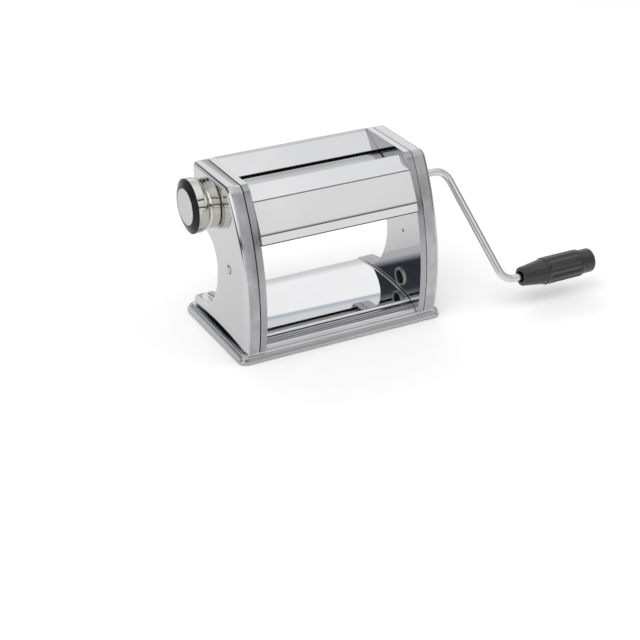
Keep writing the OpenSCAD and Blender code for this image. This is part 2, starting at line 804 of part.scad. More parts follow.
module roller_gear(axis, phase) {
    difference() {
        along_x(gear_x, gear_w) translate(axis) polygon(gear_points(phase));
        difference() {
            round_x(axis, gear_x - 1, gear_w + 2, seat_r + run_fit);
            translate([gear_x - 2, axis[0] - seat_r - 1, axis[1] + seat_r - 1.5 + run_fit])
                cube([gear_w + 4, 2 * seat_r + 2, 5]);
        }
    }
}

module front_gear() {
    color([0.5, 0.5, 0.52]) roller_gear(front_axis, 0);
}

module rear_gear() {
    color([0.5, 0.5, 0.52]) roller_gear(rear_axis, 180 / gear_teeth * (gear_teeth % 2 == 0 ? 1 : 0));
}

module circlip(axis) {
    bore = seat_r - groove_depth + run_fit;
    difference() {
        round_x(axis, groove_x + 0.05, groove_w - 0.1, seat_r + 1.4);
        round_x(axis, groove_x - 1, groove_w + 2, bore);
        translate([groove_x - 1, axis[0] - 2.5, axis[1] - seat_r - 3]) cube([groove_w + 2, 5, 6]);
    }
}

module front_circlip() {
    color([0.4, 0.4, 0.42]) circlip(front_axis);
}

module rear_circlip() {
    color([0.4, 0.4, 0.42]) circlip(rear_axis);
}

// ---- crank ----

// Rod with two bends, drawn in the XY plane and turned to the crank's angle
module crank_rod() {
    rod_in_x = shaft_end_x - crank_insert;
    rod_out_x = grip_cap_x + 3.5;
    bend_x = arm_x - bend_reach;
    bend_out_x = grip_axis_x + bend_reach;
    arm = [cos(arm_turn), -sin(arm_turn)];
    p1 = [arm_x, 0] + bend_reach * arm;
    arm_len = norm([crank_lean, crank_reach]) - 2 * bend_reach;
    color([0.8, 0.8, 0.82]) union() {
        difference() {
            round_x(front_axis, rod_in_x, bend_x - rod_in_x, rod_r);
            cross_pin(run_fit);
        }
        translate([0, front_roller_y, roller_z]) rotate([90 - crank_angle, 0, 0]) {
            translate([bend_x, -crank_bend_r, 0]) rod_bend(90 - arm_turn);
            translate([p1[0], p1[1], 0]) rotate(-arm_turn) rotate([0, 90, 0]) cylinder(r = rod_r, h = arm_len);
            translate([bend_out_x, crank_bend_r - crank_reach, 0]) rod_bend(270 - arm_turn);
            translate([bend_out_x, -crank_reach, 0]) rotate([0, 90, 0])
                cylinder(r = rod_r, h = rod_out_x - bend_out_x);
        }
    }
}

// Bend of the rod, drawn thin and just long enough to enter the straight lengths
module rod_bend(from_angle) {
    lap = 1.5;
    rotate(from_angle - lap) rotate_extrude(angle = arm_turn + 2 * lap)
        translate([crank_bend_r, 0]) circle(r = rod_r - 0.03);
}

module cross_pin(fit) {
    translate([shaft_end_x - pin_slot / 2, front_roller_y, roller_z - pin_len / 2 - fit])
        cylinder(r = pin_r + fit, h = pin_len + 2 * fit);
}

module crank_cross_pin() {
    color([0.6, 0.6, 0.62]) cross_pin(0);
}

module crank_ferrule() {
    color([0.8, 0.8, 0.82]) difference() {
        union() {
            round_x(front_axis, face_x - cover_t - 0.6, cover_t + 1, crank_hole_r + ferrule_t);
            round_x(front_axis, face_x, 1, crank_hole_r + 3);
        }
        round_x(front_axis, face_x - 5, 10, crank_hole_r);
    }
}

// ---- grip ----

module grip() {
    grip_axis = [grip_y, grip_z];
    color([0.06, 0.06, 0.06]) difference() {
        translate([0, grip_y, grip_z]) rotate([0, 90, 0]) rotate_extrude() polygon([
            [0, grip_x], [grip_neck_r - 0.8, grip_x], [grip_neck_r, grip_x + 0.8],
            [grip_r - 0.8, grip_step_x], [grip_r, grip_step_x + 0.2], [grip_r, grip_cap_x - 1],
            [grip_r - 0.8, grip_cap_x], [0, grip_cap_x]]);
        round_x(grip_axis, grip_x - 1, grip_cap_x - grip_x + 2, rod_r + run_fit + 0.03);
        round_x(grip_axis, grip_x - 1, 4, rod_r + 2);
        round_x(grip_axis, grip_cap_x - grip_cavity_len, 10, grip_cavity_r);
        for (i = [0:flutes - 1])
            round_x(grip_axis + (grip_r + 3) * dir(360 / flutes * (i + 0.5)), grip_step_x + 2,
                grip_barrel - 5, 4);
    }
}

module grip_end_cap() {
    edge = 2.2;
    color([0.06, 0.06, 0.06]) difference() {
        translate([0, grip_y, grip_z]) rotate([0, 90, 0]) rotate_extrude() polygon(concat(
            [[0, grip_cap_x], [grip_cap_r, grip_cap_x]],
            arc([grip_cap_r - edge, grip_end_x - edge], edge, 0, 90, 6), [[0, grip_end_x]]));
        round_x([grip_y, grip_z], grip_cap_x - 1, 6.5, grip_cavity_r);
    }
}

module grip_washer() {
    color([0.6, 0.6, 0.62]) difference() {
        round_x([grip_y, grip_z], grip_cap_x - grip_cavity_len + 0.6, washer_t, grip_cavity_r - 0.6);
        round_x([grip_y, grip_z], grip_cap_x - 10, 20, rod_r);
    }
}

// ---- clamp socket ----

module clamp_ferrule() {
    lip = 1.6;
    depth = 13;
    color([0.85, 0.85, 0.86]) difference() {
        union() {
            round_x(socket_axis, web_x - 0.2, depth, socket_r + ferrule_t);
            round_x(socket_axis, web_x - lip, lip, socket_r + ferrule_t + 1);
        }
        round_x(socket_axis, web_x - lip - 1, depth + lip, socket_r);
    }
}

// ---- thickness adjuster, on the left ----

module round_left(x0, x1, r) {
    round_x(knob_axis, -x1, x1 - x0, r);
}

module adjuster_bush() {
    color([0.75, 0.6, 0.3]) difference() {
        union() {
            round_left(face_x - cover_t - 2.2, face_x + collar_floor, bush_hole_r - run_fit);
            round_left(face_x - cover_t - 2.2, face_x - cover_t, bush_hole_r + 2);
        }
        round_left(face_x - 10, face_x + 10, shaft_r + run_fit);
    }
}

module knob_collar() {
    wall = 2;
    bead = 0.3;
    color([0.82, 0.82, 0.83]) difference() {
        translate([0, knob_axis[0], knob_axis[1]]) rotate([0, -90, 0]) rotate_extrude() polygon([
            [0, face_x], [collar_r, face_x], [collar_r, face_x + 1], [collar_r - bead, face_x + 1.6],
            [waist_r, face_x + 3.4], [waist_r + bead, face_x + 4], [waist_r + bead, face_x + 4.6],
            [waist_r, face_x + collar_len], [0, face_x + collar_len]]);
        round_left(face_x + collar_floor, face_x + 20, waist_r - wall);
        round_left(face_x - 1, face_x + 5, bush_hole_r);
        for (i = [0:settings - 1])
            round_x(knob_axis + index_orbit * dir(index_angle + i * setting_step), -face_x - collar_floor - 1,
                collar_floor + 1.5, index_r + 0.3);
    }
}

module adjuster_shaft() {
    color([0.7, 0.7, 0.72]) difference() {
        union() {
            round_left(disc_x + disc_t - 0.5, face_x + collar_floor + 1.6, shaft_r);
            translate([-washer_x, knob_axis[0], knob_axis[1]]) rotate([0, 90, 0])
                cylinder(r = hex_r, h = washer_x - face_x, $fn = 6);
        }
        round_left(washer_x - 6, washer_x + 5, screw_r);
    }
}

// Spiral groove: its radius falls evenly as the knob turns
function spiral_r(a) = groove_out_r - gap_travel * a / travel_angle;
function spiral(off) = [for (i = [0:40])
    let (a = -groove_end + (travel_angle + 2 * groove_end) * i / 40) (spiral_r(a) + off) * dir(-a)];

module scroll_disc() {
    half = follower_r + slide_fit;
    color([0.5, 0.5, 0.52]) difference() {
        round_left(disc_x, disc_x + disc_t, disc_r);
        along_x(-disc_x - disc_t + groove_floor, disc_t) translate(knob_axis)
            polygon(concat(spiral(half), [for (i = [40:-1:0]) spiral(-half)[i]]));
        round_left(disc_x + disc_t - 0.5, disc_x + disc_t + 1, shaft_r);
    }
}

module adjuster_washer() {
    color([0.7, 0.7, 0.72]) {
        round_left(washer_x, washer_x + 0.8, hex_r + 2.4);
        round_left(washer_x - 5, washer_x + eps, screw_r);
    }
}

module knob_barrel() {
    shoulder = 4.5;
    spring_room = hex_r + 3.4;
    color([0.85, 0.85, 0.82]) difference() {
        translate([0, knob_axis[0], knob_axis[1]]) rotate([0, -90, 0]) rotate_extrude() polygon(concat(
            [[0, knob_x]], [for (t = [0:10:90]) [waist_r + (knob_r - waist_r) * sin(t),
                knob_x + shoulder * (1 - cos(t))]], [[knob_r, knob_end_x], [0, knob_end_x]]));
        round_left(knob_x + knob_floor, knob_end_x + 1, spring_room);
        translate([-knob_end_x, knob_axis[0], knob_axis[1]]) rotate([0, 90, 0])
            cylinder(r = hex_r + slide_fit, h = knob_len + 2, $fn = 6);
        round_x(index_axis, -knob_x - 2, 4, index_r + run_fit);
    }
}

module knob_bevel() {
    color([0.04, 0.04, 0.05]) translate([0, knob_axis[0], knob_axis[1]]) rotate([0, -90, 0])
        rotate_extrude() polygon([
            [cap_r - 2, knob_end_x], [knob_r, knob_end_x], [knob_r, knob_end_x + 0.5],
            [cap_r + 0.9, knob_end_x + bevel_len], [cap_r + 0.1, knob_end_x + bevel_len],
            [cap_r + 0.1, knob_end_x + 1.2], [cap_r - 2, knob_end_x + 1.2]]);
}

module knob_cap() {
    color([0.82, 0.82, 0.84]) round_left(knob_end_x + 1.2, knob_end_x + bevel_len + 0.2, cap_r);
}

module index_pin() {
    color([0.7, 0.7, 0.72]) round_x(index_axis, -knob_x - 2, knob_x + 2 - face_x - collar_floor - part_gap, index_r);
}

// Coil spring inside the knob
module knob_spring() {
    turns = 3;
    r = hex_r + 1.6;
    x0 = knob_x + knob_floor + spring_wire / 2 + 0.05;
    x1 = washer_x - spring_wire / 2 - 0.05;
    n = 12 * turns;
    m = 6;
    ring = [for (i = [0:n]) let (a = 360 * turns * i / n) for (j = [0:m - 1]) let (b = 360 / m * j)
        [-(x0 + (x1 - x0) * i / n + spring_wire / 2 * sin(b)),
            knob_axis[0] + (r + spring_wire / 2 * cos(b)) * cos(a),
            knob_axis[1] + (r + spring_wire / 2 * cos(b)) * sin(a)]];
    sides = [for (i = [0:n - 1], j = [0:m - 1])
        [i * m + j, i * m + (j + 1) % m, (i + 1) * m + (j + 1) % m, (i + 1) * m + j]];
    color([0.6, 0.6, 0.62]) polyhedron(ring, concat(sides, [[for (j = [m - 1:-1:0]) j]], [[for (j = [0:m - 1]) n * m + j]]));
}

base_plate();
tray();
base_feet();
left_frame_plate();
right_frame_plate();
left_side_cover();
right_side_cover();
front_hood();
rear_hood();
tie_rods();
tie_rod_nuts();
frame_screws();
cover_screws();
cover_posts();
hood_rivets();
front_bushes();
carriage_rails();
clamp_ferrule();
crank_ferrule();
adjuster_bush();
knob_collar();
front_scraper();
front_roller();
front_gear();
front_circlip();
crank_rod();
crank_cross_pin();
grip_washer();
grip();
grip_end_cap();
left_carriage();
right_carriage();
carriage_bar();
carriage_bushes();
follower_pin();
rear_scraper();
rear_roller();
rear_gear();
rear_circlip();
adjuster_shaft();
scroll_disc();
adjuster_washer();
knob_barrel();
knob_bevel();
knob_cap();
index_pin();
knob_spring();
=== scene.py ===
# %% [markdown]
# # Hand-cranked pasta roller machine
# The real machine is folded and pressed from stainless sheet, with two steel rollers inside, a
# chromed crank and black plastic on the grip and the knob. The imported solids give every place, so
# the first cell loads them and keeps their box. Lengths are written in millimetres and turned to
# metres once, in the helpers, because a maker thinks of this object in millimetres.

# %% Load the frame
import json
import math
import bmesh
import bpy
from mathutils import Matrix, Vector

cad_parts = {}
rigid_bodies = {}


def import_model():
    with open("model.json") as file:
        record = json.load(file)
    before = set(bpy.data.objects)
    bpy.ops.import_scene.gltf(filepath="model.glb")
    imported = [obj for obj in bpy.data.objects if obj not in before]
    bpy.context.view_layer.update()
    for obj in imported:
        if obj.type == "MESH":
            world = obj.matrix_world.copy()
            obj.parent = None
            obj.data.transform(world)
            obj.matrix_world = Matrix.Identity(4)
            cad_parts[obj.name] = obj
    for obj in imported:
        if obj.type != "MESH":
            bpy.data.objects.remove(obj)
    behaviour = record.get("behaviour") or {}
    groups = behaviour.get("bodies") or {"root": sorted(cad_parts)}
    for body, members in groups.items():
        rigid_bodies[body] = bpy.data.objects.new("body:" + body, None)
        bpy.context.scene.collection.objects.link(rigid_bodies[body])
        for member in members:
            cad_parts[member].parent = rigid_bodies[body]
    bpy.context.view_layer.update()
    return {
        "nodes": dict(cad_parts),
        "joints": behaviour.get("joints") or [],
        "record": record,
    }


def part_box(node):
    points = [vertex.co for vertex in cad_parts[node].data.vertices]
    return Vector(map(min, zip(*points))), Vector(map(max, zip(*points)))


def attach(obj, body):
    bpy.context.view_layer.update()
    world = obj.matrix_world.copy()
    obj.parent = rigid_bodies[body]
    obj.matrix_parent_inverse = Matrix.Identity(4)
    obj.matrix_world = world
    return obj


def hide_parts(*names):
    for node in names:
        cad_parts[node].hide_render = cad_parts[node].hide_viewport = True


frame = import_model()
record = frame["record"]
MM = 0.001


def joint(name):
    """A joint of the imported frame, by its name."""
    return next(j for j in frame["joints"] if j["name"] == name)


def box_mm(node):
    """Lowest and highest corner of a solid, in millimetres."""
    low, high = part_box(node)
    return low / MM, high / MM


# %% [markdown]
# ## Stations
# Pieces line up along X, so each plate's faces are read from the solids once and reused. The axes
# of the rollers, the knob and the grip come from the joints. The rollers and the base's beads stop
# just short of the inner faces of the frame plates.

# %% Stations and axes
web_x = box_mm("right_frame_plate")[0].x
inside_x = web_x - 0.4
cover_x, face_x = box_mm("right_side_cover")[0].x, box_mm("right_side_cover")[1].x
base_low, base_high = box_mm("base_plate")
side_top = box_mm("right_side_cover")[1].z
ledge_z = box_mm("right_side_cover")[0].z
crank_axis = Vector(joint("crank_turn")["pos_m"]) / MM
rear_axis = Vector(joint("rear_roller_spin")["pos_m"]) / MM
knob_axis = Vector(joint("knob_turn")["pos_m"]) / MM
grip_axis = Vector(joint("grip_spin")["pos_m"]) / MM
print("web %.1f cover %.1f face %.1f top %.1f" % (web_x, cover_x, face_x, side_top))

# %% [markdown]
# ## Mesh helpers
# Nearly every piece is either an outline carried along X or a profile turned about an axis along
# X. Both are rings of points joined one to the next, so one function builds them. Weighted normals
# keep the wide flats flat while the small rounded edges between them shade smoothly.


# %% Mesh helpers
def new_object(name, mesh):
    obj = bpy.data.objects.new(name, mesh)
    bpy.context.scene.collection.objects.link(obj)
    return obj


def evaluated(obj):
    """Applies an object's modifiers by taking its evaluated mesh."""
    graph = bpy.context.evaluated_depsgraph_get()
    mesh = bpy.data.meshes.new_from_object(obj.evaluated_get(graph))
    obj.modifiers.clear()
    obj.data = mesh
    return obj


def shade(obj, sharp=50):
    """Smooth faces, sharp edges above an angle, and normals weighted by face area."""
    bm = bmesh.new()
    bm.from_mesh(obj.data)
    for face in bm.faces:
        face.smooth = True
    for edge in bm.edges:
        angle = edge.calc_face_angle(0)
        edge.smooth = len(edge.link_faces) == 2 and angle < math.radians(sharp)
    bm.to_mesh(obj.data)
    bm.free()
    weighted = obj.modifiers.new("normals", "WEIGHTED_NORMAL")
    weighted.keep_sharp = True
    weighted.weight = 80
    return evaluated(obj)


def build(name, points, faces, sharp=50):
    """A closed mesh from points in millimetres, with its faces turned outwards."""
    mesh = bpy.data.meshes.new(name)
    mesh.from_pydata([Vector(p) * MM for p in points], [], faces)
    bm = bmesh.new()
    bm.from_mesh(mesh)
    bmesh.ops.remove_doubles(bm, verts=bm.verts, dist=1e-6)
    bmesh.ops.recalc_face_normals(bm, faces=bm.faces)
    bm.to_mesh(mesh)
    bm.free()
    return shade(new_object(name, mesh), sharp)


def ring_faces(count, rings, closed=False):
    """Quads between rings of equally many points, with a cap at each end unless it closes."""
    faces = []
    for i in range(rings if closed else rings - 1):
        a, b = i * count, (i + 1) % rings * count
        faces += [(a + j, a + (j + 1) % count, b + (j + 1) % count, b + j) for j in range(count)]
    if not closed:
        faces += [tuple(reversed(range(count))), tuple(range((rings - 1) * count, rings * count))]
    return faces


def loft(name, rings, closed=False, sharp=50):
    """A solid through rings of (x, y, z) points."""
    points = [point for ring in rings for point in ring]
    return build(name, points, ring_faces(len(rings[0]), len(rings), closed), sharp)


def full_turn(steps):
    """Angles all the way round, in radians."""
    return [2 * math.pi * k / steps for k in range(steps)]


def quarter_turn(steps):
    """Angles from nothing to a right angle, in radians, with both ends."""
    return [math.radians(90 * k / steps) for k in range(steps + 1)]


def turned(name, axis, profile, steps=128, closed=False, sharp=50):
    """A profile of (x, radius) points turned about an axis along X."""
    rings = [[(x, axis.y + r * math.cos(t), axis.z + r * math.sin(t)) for t in full_turn(steps)]
             for x, r in profile]
    return loft(name, rings, closed, sharp)


def prism(name, outline, x0, x1, sharp=50):
    """A (y, z) outline carried from one x to another."""
    return loft(name, [[(x, y, z) for y, z in outline] for x in (x0, x1)], sharp=sharp)


def arc(centre, radius, start, end, steps):
    """Points of an arc in the (y, z) plane, angles in degrees."""
    angles = [math.radians(start + (end - start) * i / steps) for i in range(steps + 1)]
    return [(centre[0] + radius * math.cos(a), centre[1] + radius * math.sin(a)) for a in angles]


def soften(obj, width, segments=3, limit=35):
    """Rounds every real edge of a mesh by a width in millimetres."""
    bevel = obj.modifiers.new("edges", "BEVEL")
    bevel.width = width * MM
    bevel.segments = segments
    bevel.limit_method = "ANGLE"
    bevel.angle_limit = math.radians(limit)
    evaluated(obj)
    return shade(obj, sharp=60)


def copy_of(node, name, width):
    """A merged copy of a solid, with its edges rounded."""
    mesh = frame["nodes"][node].data.copy()
    mesh.materials.clear()
    bm = bmesh.new()
    bm.from_mesh(mesh)
    bmesh.ops.remove_doubles(bm, verts=bm.verts, dist=2e-6)
    flat = math.radians(0.5)
    bmesh.ops.dissolve_limit(bm, angle_limit=flat, verts=bm.verts, edges=bm.edges)
    bm.to_mesh(mesh)
    bm.free()
    return soften(new_object(name, mesh), width)


def mirrored(obj, name):
    """The same piece for the other side, with its faces turned back outwards."""
    mesh = obj.data.copy()
    mesh.transform(Matrix.Scale(-1, 4, (1, 0, 0)))
    mesh.flip_normals()
    return new_object(name, mesh)


def place(obj, material, body, slot, *nodes):
    """Gives a piece its finish and its body, and lets it stand for solids."""
    obj.data.materials.clear()
    obj.data.materials.append(material)
    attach(obj, body)
    if nodes:
        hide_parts(*nodes)
    return obj


print("two rings of four points make a box of", len(ring_faces(4, 2)), "faces")

# %% [markdown]
# ## Finishes
# Stainless sheet is never one flat grey. Polished faces carry faint smudges, brushed faces carry
# fine streaks along the direction of the belt. Both are noise on Object coordinates: stretched a
# lot for the streaks, hardly at all for the smudges. The streaks move the roughness and tilt the
# surface slightly, so that highlights break up as they do on the real sheet.
#
# Two more helpers read the way that a face looks, from the piece's own normals. One gives the faces
# that look along X or straight up a smoother finish, which is real, and a lighter tone, which is
# painted light, because a cover's flat faces and tops look brighter than its edge.
# The other paints shade into a bent sheet's colour by its slope: a fold is curved, so it gathers
# the dark parts of a room into a thin line, and a ramp over the slope paints that line as a dark
# reflection just where the sheet turns.


# %% Node helpers
def feed(tree, socket, value):
    """Link another node's output to an input, or set the input to a number or colour."""
    if isinstance(value, bpy.types.NodeSocket):
        tree.links.new(value, socket)
    else:
        socket.default_value = value


def computed(tree, operation, *values):
    """The result of a Math node."""
    node = tree.nodes.new("ShaderNodeMath")
    node.operation = operation
    for socket, value in zip(node.inputs, values):
        feed(tree, socket, value)
    return node.outputs["Value"]


def mixed(tree, factor, first, second, kind="RGBA", blend="MIX"):
    """The result of a Mix node."""
    node = tree.nodes.new("ShaderNodeMix")
    node.data_type = kind
    node.blend_type = blend
    for socket, value in (("Factor", factor), ("A", first), ("B", second)):
        feed(tree, node.inputs[socket], value)
    return node.outputs["Result"]


def to_range(tree, value, low, high, from_low=0.3, from_high=0.7):
    """A value spread over a new range. The middle of a noise lies between 0.3 and 0.7."""
    node = tree.nodes.new("ShaderNodeMapRange")
    for socket, limit in (("From Min", from_low), ("From Max", from_high),
                          ("To Min", low), ("To Max", high), ("Value", value)):
        feed(tree, node.inputs[socket], limit)
    return node.outputs["Result"]


def set_ramp(ramp, stops):
    """Give a colour ramp its (position, colour) stops, from low to high."""
    elements = ramp.color_ramp.elements
    elements[0].position, elements[1].position = stops[0][0], stops[-1][0]
    for position, _ in stops[1:-1]:
        elements.new(position)
    for element, (_, color) in zip(elements, stops):
        element.color = (*color, 1)


def grey(value, blue=0.0):
    return (value, value, value + blue)


print("a slightly blue grey:", grey(0.60, 0.01))


# %% Finish helpers
def new_material(name, color, metallic, roughness):
    """A Principled material, with its tree and its shader."""
    material = bpy.data.materials.new(name)
    material.use_nodes = True
    shader = material.node_tree.nodes["Principled BSDF"]
    shader.inputs["Base Color"].default_value = (*color, 1)
    shader.inputs["Metallic"].default_value = metallic
    shader.inputs["Roughness"].default_value = roughness
    return material, material.node_tree, shader


def noise(tree, stretch, scale, detail):
    """Noise on Object coordinates, stretched per axis."""
    coordinates = tree.nodes.new("ShaderNodeTexCoord")
    mapping = tree.nodes.new("ShaderNodeMapping")
    mapping.inputs["Scale"].default_value = stretch
    texture = tree.nodes.new("ShaderNodeTexNoise")
    texture.inputs["Scale"].default_value = scale
    texture.inputs["Detail"].default_value = detail
    tree.links.new(coordinates.outputs["Object"], mapping.inputs["Vector"])
    tree.links.new(mapping.outputs["Vector"], texture.inputs["Vector"])
    return texture.outputs["Fac"]


def tinted(tree, shader, value, dark, light):
    """Let a value move the colour from dark to light."""
    tone = mixed(tree, to_range(tree, value, 0, 1), (*dark, 1), (*light, 1))
    tree.links.new(tone, shader.inputs["Base Color"])


def bumped(tree, shader, value, strength, distance):
    """Let a value tilt the surface; the distance is in metres."""
    bump = tree.nodes.new("ShaderNodeBump")
    bump.inputs["Strength"].default_value = strength
    bump.inputs["Distance"].default_value = distance
    tree.links.new(value, bump.inputs["Height"])
    tree.links.new(bump.outputs["Normal"], shader.inputs["Normal"])


metal_grain, plastic_grain = 0.00002, 0.00005


def steel(name, dark, light, rough, stretch=(1, 1, 1), scale=900, bump=0.0, smudge=14):
    """Bare metal: streaks or grain drive the roughness, large smudges drive the tint."""
    material, tree, shader = new_material(name, light, 1.0, rough[1])
    grain = noise(tree, stretch, scale, 4)
    cloud = noise(tree, (1, 1, 1), smudge, 2)
    tinted(tree, shader, cloud, dark, light)
    tree.links.new(to_range(tree, grain, *rough), shader.inputs["Roughness"])
    if bump:
        bumped(tree, shader, grain, bump, metal_grain)
    return material


def looking(tree):
    """The X, Y and Z parts of the way that a face looks."""
    coordinates = tree.nodes.new("ShaderNodeTexCoord")
    parts = tree.nodes.new("ShaderNodeSeparateXYZ")
    tree.links.new(coordinates.outputs["Normal"], parts.inputs["Vector"])
    return parts.outputs


def polished_with_painted_light(material, tone, rough, low=0.85, high=0.97):
    """Give the faces that look along X, or straight up, a smoother finish and a painted lighter
    tone.
    """
    tree = material.node_tree
    shader = tree.nodes["Principled BSDF"]
    parts = looking(tree)
    across = computed(tree, "ABSOLUTE", parts["X"])
    upward = to_range(tree, parts["Z"], 0, 1, 0.90, 0.98)
    # Painted light: faces that look along X or up get a lighter colour as well as a smoother
    # finish.
    polish_and_painted_light = to_range(tree, computed(tree, "MAXIMUM", across, upward), 0, 1, low, high)
    finish = (("Base Color", "RGBA", (*tone, 1)), ("Roughness", "FLOAT", rough))
    for name, kind, value in finish:
        socket = shader.inputs[name]
        first = socket.links[0].from_socket
        tree.links.new(mixed(tree, polish_and_painted_light, first, value, kind), socket)


def painted_fold_shade(material, stops):
    """Paint shade into a bent sheet's colour by the slope of its outer face, in degrees up from
    facing front.
    """
    tree = material.node_tree
    parts = looking(tree)
    slope = computed(tree, "ARCTAN2", parts["Z"], computed(tree, "MULTIPLY", parts["Y"], -1))
    ramp = tree.nodes.new("ShaderNodeValToRGB")
    set_ramp(ramp, [((degrees + 90) / 180, grey(tone)) for degrees, tone in stops])
    tree.links.new(to_range(tree, slope, 0, 1, -math.pi / 2, math.pi / 2), ramp.inputs["Fac"])
    socket = tree.nodes["Principled BSDF"].inputs["Base Color"]
    bare = socket.links[0].from_socket
    # Painted shade: the ramp multiplies the colour, darkening it where the sheet turns.
    tree.links.new(mixed(tree, 1, bare, ramp.outputs["Color"], blend="MULTIPLY"), socket)


def plastic(name, dark, light, rough, scale=1200, bump=0.1, coat=0.0):
    """Moulded plastic or rubber: fine grain in the surface, a slight change of tone."""
    material, tree, shader = new_material(name, light, 0.0, rough[1])
    grain = noise(tree, (1, 1, 1), scale, 2)
    tinted(tree, shader, noise(tree, (1, 1, 1), 40, 3), dark, light)
    tree.links.new(to_range(tree, grain, *rough), shader.inputs["Roughness"])
    shader.inputs["Coat Weight"].default_value = coat
    shader.inputs["Coat Roughness"].default_value = 0.05
    bumped(tree, shader, grain, bump, plastic_grain)
    return material


print("finish helpers:", ", ".join(f.__name__ for f in (steel, plastic, polished_with_painted_light, painted_fold_shade)))

# %% Finishes
along_x = (0.02, 1, 1)
along_z = (1, 1, 0.02)
cover_steel = steel("cover_steel", grey(0.42, 0.01), grey(0.60, 0.01), (0.28, 0.42), along_z,
                    bump=0.06, smudge=60)
# Painted light: a lighter tone on the cover's flat faces and tops, with a smoother finish.
polished_with_painted_light(cover_steel, grey(0.66, 0.01), 0.06, 0.12, 0.32)
satin_steel = steel("satin_steel", grey(0.60, 0.01), grey(0.66, 0.01), (0.20, 0.28), along_x,
                    bump=0.06)
hood_steel = steel("hood_steel", grey(0.74, 0.01), grey(0.80, 0.01), (0.08, 0.13), along_x, 700)
# Painted shade: the slopes at which the hood's colour darkens, standing in for the dark reflections
# at its folds.
hood_fold_shade = [(-80, 1), (-60, 0.06), (9, 0.06), (13, 1), (16, 1), (18, 0.40), (20, 0.50),
                (25, 1), (32, 1), (37, 0.28), (45, 0.28), (52, 1)]
painted_fold_shade(hood_steel, hood_fold_shade)
rim_steel = steel("rim_steel", grey(0.38, 0.01), grey(0.46, 0.01), (0.16, 0.26), along_z,
                  bump=0.12)
# Painted light: a lighter tone on the plates' flat faces and tops, with a smoother finish.
polished_with_painted_light(rim_steel, grey(0.68, 0.01), 0.07)
tray_steel = steel("tray_steel", grey(0.82, 0.01), grey(0.86, 0.02), (0.02, 0.05))
base_steel = steel("base_steel", grey(0.56, 0.01), grey(0.62, 0.01), (0.13, 0.18), along_x, 300)
roller_steel = steel("roller_steel", grey(0.52), grey(0.60), (0.10, 0.2), along_x, 1200, 0.1)
chrome = steel("chrome", grey(0.70), grey(0.76), (0.03, 0.07))
warm_chrome = steel("warm_chrome", (0.66, 0.65, 0.60), (0.72, 0.71, 0.66), (0.03, 0.06))
dark_steel = steel("dark_steel", grey(0.30), grey(0.42), (0.3, 0.45))
zinc_steel = steel("zinc_steel", grey(0.60), (0.70, 0.70, 0.72), (0.2, 0.35))
bronze = steel("bronze", (0.45, 0.30, 0.12), (0.62, 0.44, 0.20), (0.3, 0.4))
gloss_black = plastic("gloss_black", grey(0.002), grey(0.004), (0.06, 0.10), 600, 0.02)
gloss_shader = gloss_black.node_tree.nodes["Principled BSDF"]
gloss_shader.inputs["Specular IOR Level"].default_value = 0.2
satin_black = plastic("satin_black", grey(0.006), grey(0.012), (0.24, 0.34), 2500, 0.12, 0.5)
cap_silver = plastic("cap_silver", grey(0.58), grey(0.64), (0.30, 0.40), 2500, 0.08)
rubber = plastic("rubber", grey(0.012), grey(0.03), (0.7, 0.85), 1500, 0.4)
nylon = plastic("nylon", grey(0.55), grey(0.66), (0.4, 0.55))
print("finishes:", len(bpy.data.materials))

# %% [markdown]
# ## Camera
# A long lens from a little above and to the left keeps the machine's straight edges nearly
# parallel, as in a catalogue. Its place and its direction are set, and nothing follows it.

# %% Camera
yaw, pitch = math.radians(27.807), math.radians(28.017)
forward = Vector((math.sin(yaw) * math.cos(pitch),
                  math.cos(yaw) * math.cos(pitch),
                  -math.sin(pitch)))
camera_data = bpy.data.cameras.new("camera")
camera_data.lens = 84.70
camera_data.sensor_width = 36
camera_data.clip_end = 50
camera = new_object("camera", camera_data)
camera.location = Vector((-558.18, -1072.72, 636.31)) * MM
camera.rotation_euler = forward.to_track_quat("-Z", "Y").to_euler()
bpy.context.scene.camera = camera
bpy.context.scene.view_settings.view_transform = "Standard"
print("camera %.2f m from the middle of the base" % camera.location.length)

# %% [markdown]
# ## The room that steel mirrors
# Polished steel shows its surroundings, so the world is a studio in bands of tone, seen by glossy
# rays alone. A direction's height picks a tone on a ramp, and its X and Y blend from one ramp to
# the next, because each wall of a studio has its own soft boxes and dark gaps. The camera sees
# plain white, and the light that falls on the machine is white and even.

# %% World helpers
world = bpy.data.worlds.new("studio")
world.use_nodes = True
bpy.context.scene.world = world
sky = world.node_tree
background = sky.nodes["Background"]
rays = sky.nodes.new("ShaderNodeLightPath")
direction = sky.nodes.new("ShaderNodeTexCoord")
split = sky.nodes.new("ShaderNodeSeparateXYZ")
sky.links.new(direction.outputs["Generated"], split.inputs["Vector"])


def wall(stops):
    """A wall's tone against the height of a direction, from (height, tone, blue) stops."""
    ramp = sky.nodes.new("ShaderNodeValToRGB")
    set_ramp(ramp, [(height, (tone, tone + blue / 2, tone + blue)) for height, tone, blue in stops])
    sky.links.new(split.outputs["Z"], ramp.inputs["Fac"])
    return ramp.outputs["Color"]


def passing(axis, low, high, first, second):
    """Blend two walls as a direction passes from low to high along an axis."""
    return mixed(sky, to_range(sky, split.outputs[axis], 0, 1, low, high), first, second)


print("the room blends along:", ", ".join(socket.name for socket in split.outputs))

